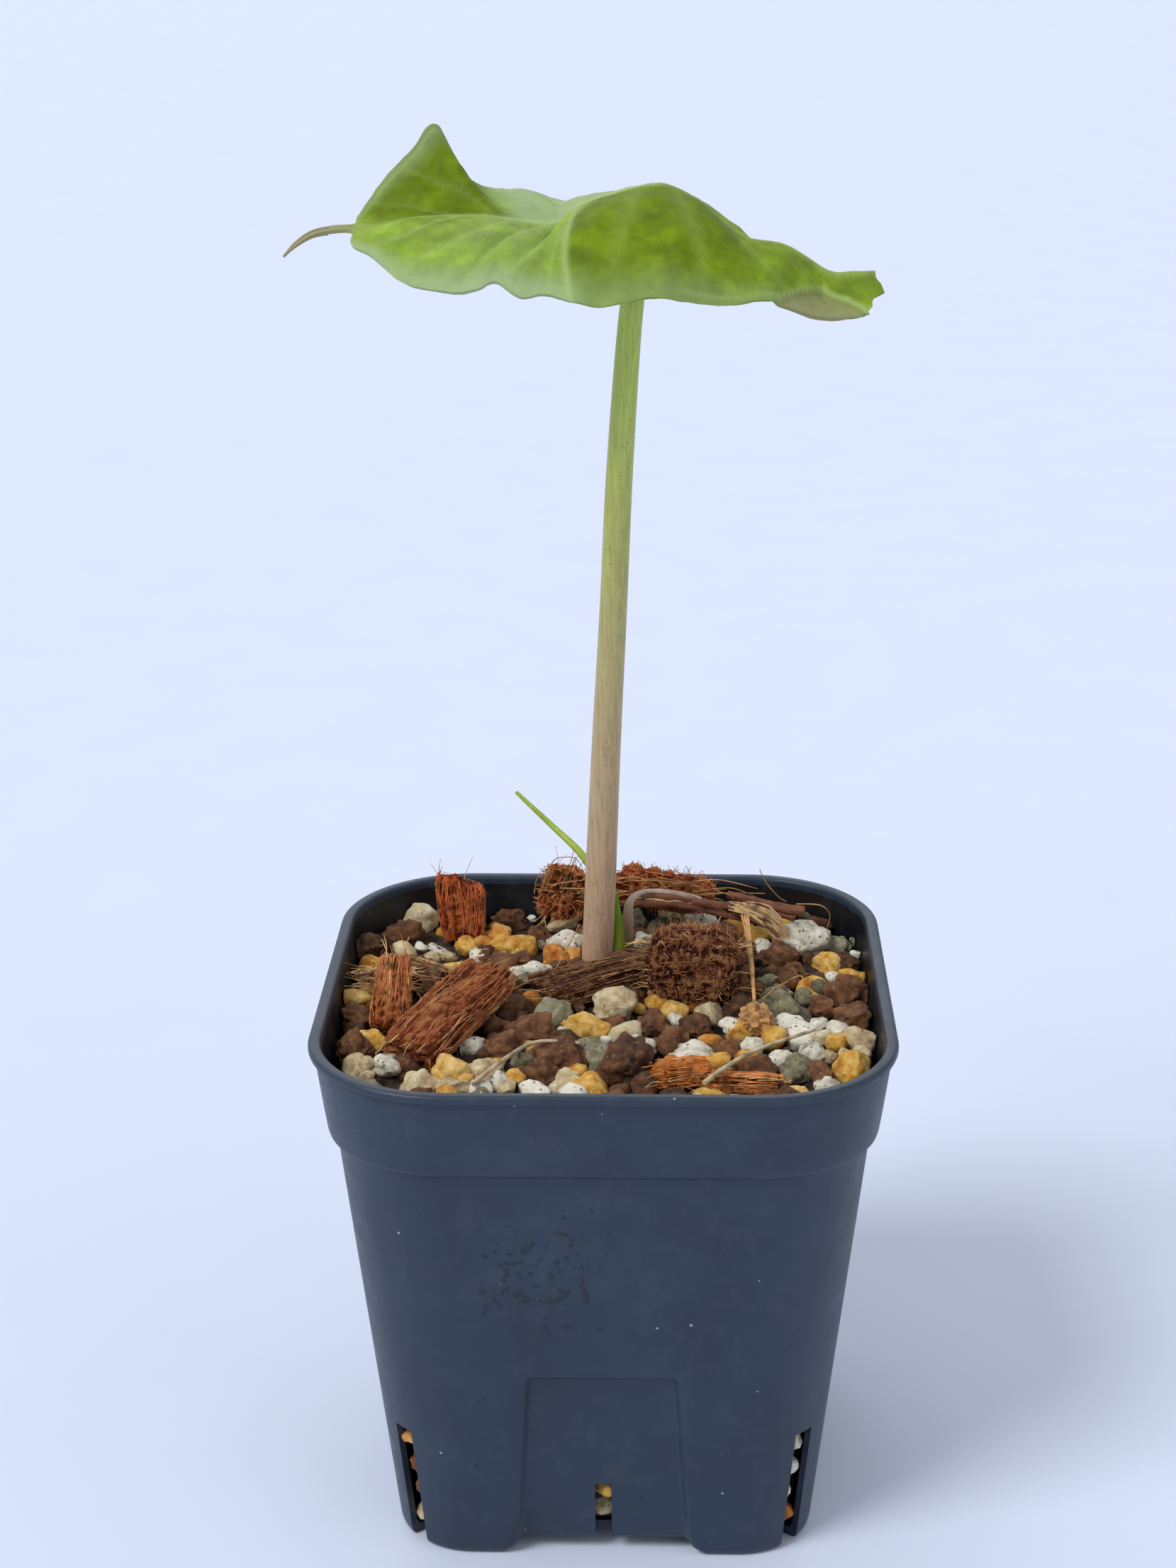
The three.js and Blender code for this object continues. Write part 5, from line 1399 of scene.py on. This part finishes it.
class PLANT_OT_stem(bpy.types.Operator):
    """Makes the leaf stem"""
    bl_idname = "plant.make_stem"
    bl_label = "Leaf stem"

    def execute(self, context):
        material = stem_skin("petiole_skin", STEM_COLOURS, STEM_SPAN)
        rod_piece("leaf_stem", [tapered(STEM_PATH, STEM_RADII, 12)], material, ["petiole"], 32)
        return {"FINISHED"}


class PLANT_OT_shoots(bpy.types.Operator):
    """Makes the new shoots and the dried sheath"""
    bl_idname = "plant.make_shoots"
    bl_label = "Shoots and sheath"

    def execute(self, context):
        for name, (path, radii, steps, colours) in SHOOTS.items():
            material = stem_skin(name + "_skin", colours, SHOOT_SPAN)
            rod_piece(name + "_green", [tapered(path, radii, steps)], material, [name])
        self.sheath()
        return {"FINISHED"}

    def sheath(self):
        """A papery ribbon that stands by the stem, folds over and runs to the right."""
        paper = stem_skin("dry_sheath_paper", SHEATH_COLOURS, SHEATH_SPAN, 0.25)
        curve = tapered(SHEATH_PATH, SHEATH_HALF_WIDTHS, 10)
        rings = []
        for index, (place, half) in enumerate(curve):
            ahead = curve[min(index + 1, len(curve) - 1)][0] - curve[max(index - 1, 0)][0]
            wide = ahead.cross(Vector((0, 1, 0))).normalized()
            thin = wide.cross(ahead).normalized()
            ring = []
            for side in range(SHEATH_SIDES):
                angle = 2 * math.pi * side / SHEATH_SIDES
                crinkle = 0.18 * noise.noise(Vector((math.cos(angle) * 1.6, index * 0.16, 3)))
                ring.append(place + wide * half * math.cos(angle)
                            + thin * (0.17 * math.sin(angle) + crinkle))
            rings.append(ring)
        bm = skin(rings)
        bmesh.ops.recalc_face_normals(bm, faces=bm.faces)
        finish_piece("sheath", bm, [paper], ["dry_sheath"])


# The sticks of the bundle, as the solid has them, with the radii at both ends.
STICKS = [
    ([(3.4, 30.6, 87.4), (12, 30.4, 87), (18, 30.2, 85.8), (24.6, 29.8, 84.2)], 0.75, 0.6),
    ([(4.4, 29.7, 86.5), (12, 29.6, 86.1), (18, 29.4, 84.9), (25.4, 29, 83.3)], 0.7, 0.5),
    ([(14, 29.8, 86.6), (21.6, 28.8, 86.2), (27.6, 28.2, 85.6), (31.4, 27.8, 84.6)], 0.7, 0.65),
    ([(20, 28.6, 88.6), (24, 28.4, 87.6), (28, 28.2, 86.5), (32.9, 28, 85.7)], 0.6, 0.85),
    ([(21, 28.6, 85.8), (26, 27, 84.9), (29.2, 26.4, 83.4)], 0.5, 0.32),
    ([(21, 28.6, 85.4), (26, 26.8, 83.9), (28.6, 25.8, 82.2)], 0.5, 0.32),
]
BRUSH_ENDS = [(28.3, 26, 84.8), (29.4, 26, 83), (29.7, 26, 81.9), (28.7, 26, 80.7)]
# Thin rootlets and fibres that lie loose on the mix, each with its radius.
HAIRS = [
    ([(25.1, -1.1, 82.5), (27.6, 2.7, 82.8), (31.2, 7.4, 82.8), (32, 6.3, 82.4)], 0.16),
    ([(-5.1, 26, 84), (-6.3, 21.6, 83), (-8.4, 9.8, 83), (-10.6, 4, 82)], 0.12),
    ([(25.5, 34, 91), (26.7, 34, 88.5), (28.9, 34, 85.9), (30.2, 34, 85.1)], 0.09),
    ([(31.7, 30, 86.3), (35.7, 30, 86.1), (37.4, 30, 84.4), (37, 30, 82.1)], 0.1),
    ([(-11.5, 33, 87.8), (-9.8, 33, 92.6), (-7.7, 33, 93.5), (-5.5, 33, 92.9), (-4, 33, 89)], 0.09),
    ([(-13, 32.6, 87), (-12.2, 32.4, 90.2), (-9, 32.6, 91.4), (-7, 33, 89.5)], 0.08),
]


TWIGS = {
    "twig_right": [(15.3, -33.8, 83.2), (19.1, -28.4, 83.6), (23.8, -23, 83.8), (32.8, -15.2, 83.6)],
    "twig_left": [(-19.3, -32.2, 82), (-15.4, -24.4, 82.2), (-10.5, -17.5, 82.2), (-3.8, -17.2, 82)],
}
# The threads of the dry root: how far aside and up each begins, and its radius.
ROOT_THREADS = [(0, 0, 0.3), (-0.55, 0.25, 0.16), (0.5, 0.15, 0.2)]
NUB_MIDDLE, NUB_RADIUS = (23.8, -7.4, 81.8), 2.8
DRAPED_STRAWS, BRUSH_STRANDS, BARK_STRANDS = 46, 80, 110


class PLANT_OT_straw(bpy.types.Operator):
    """Lays the stick bundle, the dry root, the twigs and the loose hairs"""
    bl_idname = "plant.make_straw"
    bl_label = "Sticks and roots"

    def execute(self, context):
        pale = dry_fibre("dry_root", srgb("b98a55"))
        self.sticks(dry_fibre("dry_stick", srgb("744630")), dry_fibre("brush_straw", srgb("c8a678")))
        self.strand(pale)
        twig = dry_fibre("dry_twig", srgb("b3a084"))
        for name, path in TWIGS.items():
            rod_piece(name + "_dry", [tapered(path, [0.4, 0.28])], twig, [name], 8)
        paths = [tapered(path, [radius, radius, radius * 0.6], 6) for path, radius in HAIRS]
        paths += self.draped_straws(random_from(77))
        rod_piece("loose_hairs", paths, pale, (), 6)
        return {"FINISHED"}

    def draped_straws(self, random):
        """Fine straws that hang in bows over the chips along the back."""
        paths = []
        for _ in range(DRAPED_STRAWS):
            x, y = -13 + 28 * random(), 30.2 + 3.4 * random()
            begin = Vector((x, y, 85.5 + 5 * random() - 0.06 * (x + 13)))
            reach, bow = 4 + 9 * random(), 3.4 * (random() - 0.35)
            end = begin + Vector((reach, 1.5 * (random() - 0.5), 2.4 * (random() - 0.65)))
            middle = lerp(begin, end, 0.4 + 0.2 * random()) + Vector((0, 0, bow))
            radius = 0.06 + 0.06 * random()
            paths.append(tapered([begin, middle, end], [radius, radius, radius * 0.6], 7))
        return paths

    def sticks(self, bark, straw):
        """The bundle's sticks with bark ridges, and the frayed brush at its right."""
        random = random_from(31)
        bm = bmesh.new()
        for path, first, last in STICKS:
            for vert in add_tubes(bm, [tapered(path, [first, last], 10)], 14):
                ridges = Vector((vert.co.x * 0.4, vert.co.y * 3, vert.co.z * 3))
                vert.co += 0.24 * noise_shift(ridges)
        brush, bark_strands = [], []
        for _ in range(BRUSH_STRANDS):
            end = Vector(BRUSH_ENDS[int(random() * 4)])
            jitter = Vector((random() - 0.5, random() - 0.5, random() - 0.5))
            begin = Vector((20 + 5 * random(), 27.6 + 1.6 * random(), 86 + 1.6 * random()))
            middle = lerp(begin, end, 0.5) + Vector((0.6, 0, 0.8)) + jitter
            brush.append(tapered([begin, middle, end + 1.4 * jitter], [0.14, 0.12, 0.06], 4))
        for _ in range(BARK_STRANDS):
            place = 4 + 16 * random()
            begin = Vector((place, 29.4 + 1.8 * random(), 87.4 - 0.14 * place + 0.6 * random()))
            ahead = Vector((3 + 3 * random(), 0.8 * (random() - 0.5), 0.9 * random() - 0.8))
            middle = begin + ahead * 0.5 + Vector((0, 0, 0.4))
            bark_strands.append(tapered([begin, middle, begin + ahead], [0.16, 0.15, 0.08], 3))
        # Every third strand of the bark is of straw.
        add_tubes(bm, bark_strands[::3] + bark_strands[1::3], 5)
        bark_faces = len(bm.faces)
        add_tubes(bm, brush + bark_strands[2::3], 5)
        paint_from(bm, bark_faces, 1)
        finish_piece("stick_bundle_husk", bm, [bark, straw], ["stick_bundle"])

    def strand(self, material):
        """Dry roots that run together into a crumbly nub."""
        bm = bmesh.new()
        for aside, up, radius in ROOT_THREADS:
            path = [(22.8 + aside, 24.6, 86.2 + up), (23.2 + 0.6 * aside, 16, 85.8 + up),
                    (23.5 + 0.4 * aside, 5, 84.6), (23.7, -5.6, 82.8)]
            add_tubes(bm, [tapered(path, [radius, radius], 10)], 8)
        nub = bmesh.ops.create_icosphere(bm, subdivisions=5, radius=1)["verts"]
        for vert in nub:
            crumb = 0.3 * noise.noise(vert.co * 2.4) + 0.2 * noise.noise(vert.co * 6)
            taper = 1 - 0.22 * vert.co.y
            point = vert.co * NUB_RADIUS * (1 + crumb)
            point = Vector((point.x * 0.92 * taper, point.y * 1.1, point.z * 0.9 * taper))
            vert.co = point + Vector(NUB_MIDDLE)
        finish_piece("dry_root_strand", bm, [material], ["root_strand"])


class PLANT_OT_corm(bpy.types.Operator):
    """Gives the corm and the roots under the surface their bark"""
    bl_idname = "plant.dress_corm"
    bl_label = "Corm bark"

    def execute(self, context):
        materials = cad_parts["corm_and_roots"].data.materials
        materials.clear()
        materials.append(dry_fibre("corm_bark", srgb("6d4b34")))
        return {"FINISHED"}


# Stage.

# Soft lamps, far off: name, where from, the angle they spread over, strength.
LAMPS = [("key", (-0.6, -0.5, 0.95), 24, 1.75), ("fill", (0.8, -0.5, 0.4), 60, 0.35),
         ("back", (-0.2, 0.9, 0.8), 60, 0.6)]
FLOOR_HALF, BACKGROUND_STRENGTH = 9, 0.62
# The camera, as fitted to the pot: its place in the pot's millimetres, its angles, and the focal
# length and height of the photograph in pixels.
CAMERA_PLACE = (-2.71, -417.86, 267.0)
PITCH, ROLL, YAW = math.radians(19.565), math.radians(-0.358), math.radians(1.7)
FOCAL_PX, PHOTO_PX, SENSOR_MM = 4000, 2212, 36


def plain_matte(name, colour, roughness):
    """A plain studio surface with a barely visible mottle."""
    material, tree = new_material(name)
    place = add_node(tree, "TexCoord").outputs["Object"]
    mottle = add_node(tree, "TexNoise", {"Vector": place, "Scale": per_metre(30), "Detail": 3.0})
    base = add_node(tree, "ValToRGB", {"Fac": mottle}, stops=[(0.3, shade(colour, 0.98)), (0.7, colour)])
    return finish_material(material, {"Base Color": base, "Roughness": roughness})


class PLANT_OT_stage(bpy.types.Operator):
    """Sets the floor, backdrop, lights and camera"""
    bl_idname = "plant.make_stage"
    bl_label = "Stage"

    def execute(self, context):
        scene = context.scene
        self.floor(scene)
        self.lights(scene)
        self.camera(scene)
        return {"FINISHED"}

    def floor(self, scene):
        """A wide sheet of paper."""
        bm = bmesh.new()
        bmesh.ops.create_grid(bm, x_segments=1, y_segments=1, size=FLOOR_HALF)
        bmesh.ops.translate(bm, vec=(0, 0, -0.0002), verts=bm.verts)
        mesh = bpy.data.meshes.new("floor")
        bm.to_mesh(mesh)
        bm.free()
        mesh.materials.append(plain_matte("floor_paper", srgb("d5def2"), 0.8))
        floor = bpy.data.objects.new("floor", mesh)
        scene.collection.objects.link(floor)

    def lights(self, scene):
        """A pale sky, and soft lamps from the left, the right and behind."""
        world = bpy.data.worlds.new("studio")
        world.use_nodes = True
        background = world.node_tree.nodes["Background"]
        background.inputs["Color"].default_value = rgba(srgb("eff2f8"))
        background.inputs["Strength"].default_value = BACKGROUND_STRENGTH
        scene.world = world
        scene.view_settings.view_transform = "Standard"
        for name, place, spread, strength in LAMPS:
            lamp = bpy.data.lights.new(name, "SUN")
            lamp.angle = math.radians(spread)
            lamp.energy = strength
            holder = bpy.data.objects.new(name, lamp)
            holder.location = place
            aim = Vector((0, 0, 0.1)) - Vector(place)
            holder.rotation_euler = aim.to_track_quat("-Z", "Y").to_euler()
            scene.collection.objects.link(holder)

    def camera(self, scene):
        """The camera that the photograph was taken with."""
        ahead = Vector((0, math.cos(PITCH), -math.sin(PITCH)))
        right = Vector((1, 0, 0))
        up = right.cross(ahead)
        rolled_right = math.cos(ROLL) * right + math.sin(ROLL) * up
        rolled_up = -math.sin(ROLL) * right + math.cos(ROLL) * up
        turn = Matrix.Rotation(YAW, 3, "Z")
        place = turn @ Vector(CAMERA_PLACE)
        axes = [turn @ axis for axis in (rolled_right, rolled_up, -ahead)]
        data = bpy.data.cameras.new("photo_view")
        data.sensor_width = SENSOR_MM
        data.lens = FOCAL_PX * SENSOR_MM / PHOTO_PX
        camera = bpy.data.objects.new("photo_view", data)
        camera.matrix_world = Matrix.Translation(TO_ROW @ place) @ Matrix(axes).transposed().to_4x4()
        scene.collection.objects.link(camera)
        scene.camera = camera


class PLANT_PT_panel(bpy.types.Panel):
    """Lists the plant's operators"""
    bl_label = "Potted alocasia"
    bl_idname = "PLANT_PT_panel"
    bl_space_type = "VIEW_3D"
    bl_region_type = "UI"
    bl_category = "Plant"

    def draw(self, context):
        for operator in OPERATORS:
            self.layout.operator(operator.bl_idname)


OPERATORS = (PLANT_OT_stage, PLANT_OT_pot, PLANT_OT_mix, PLANT_OT_chips, PLANT_OT_leaf, PLANT_OT_stem,
             PLANT_OT_shoots, PLANT_OT_straw, PLANT_OT_corm)
CLASSES = (PotSettings, LeafSettings, MixSettings, AlocasiaSettings, *OPERATORS, PLANT_PT_panel)


def register():
    for made_class in CLASSES:
        bpy.utils.register_class(made_class)
    bpy.types.Scene.alocasia = PointerProperty(type=AlocasiaSettings)


def unregister():
    del bpy.types.Scene.alocasia
    for made_class in reversed(CLASSES):
        bpy.utils.unregister_class(made_class)


def main():
    register()
    bpy.ops.plant.make_stage()
    bpy.ops.plant.make_pot()
    bpy.ops.plant.make_mix()
    bpy.ops.plant.make_chips()
    bpy.ops.plant.make_leaf()
    bpy.ops.plant.make_stem()
    bpy.ops.plant.make_shoots()
    bpy.ops.plant.make_straw()
    bpy.ops.plant.dress_corm()


if __name__ == "__main__":
    main()
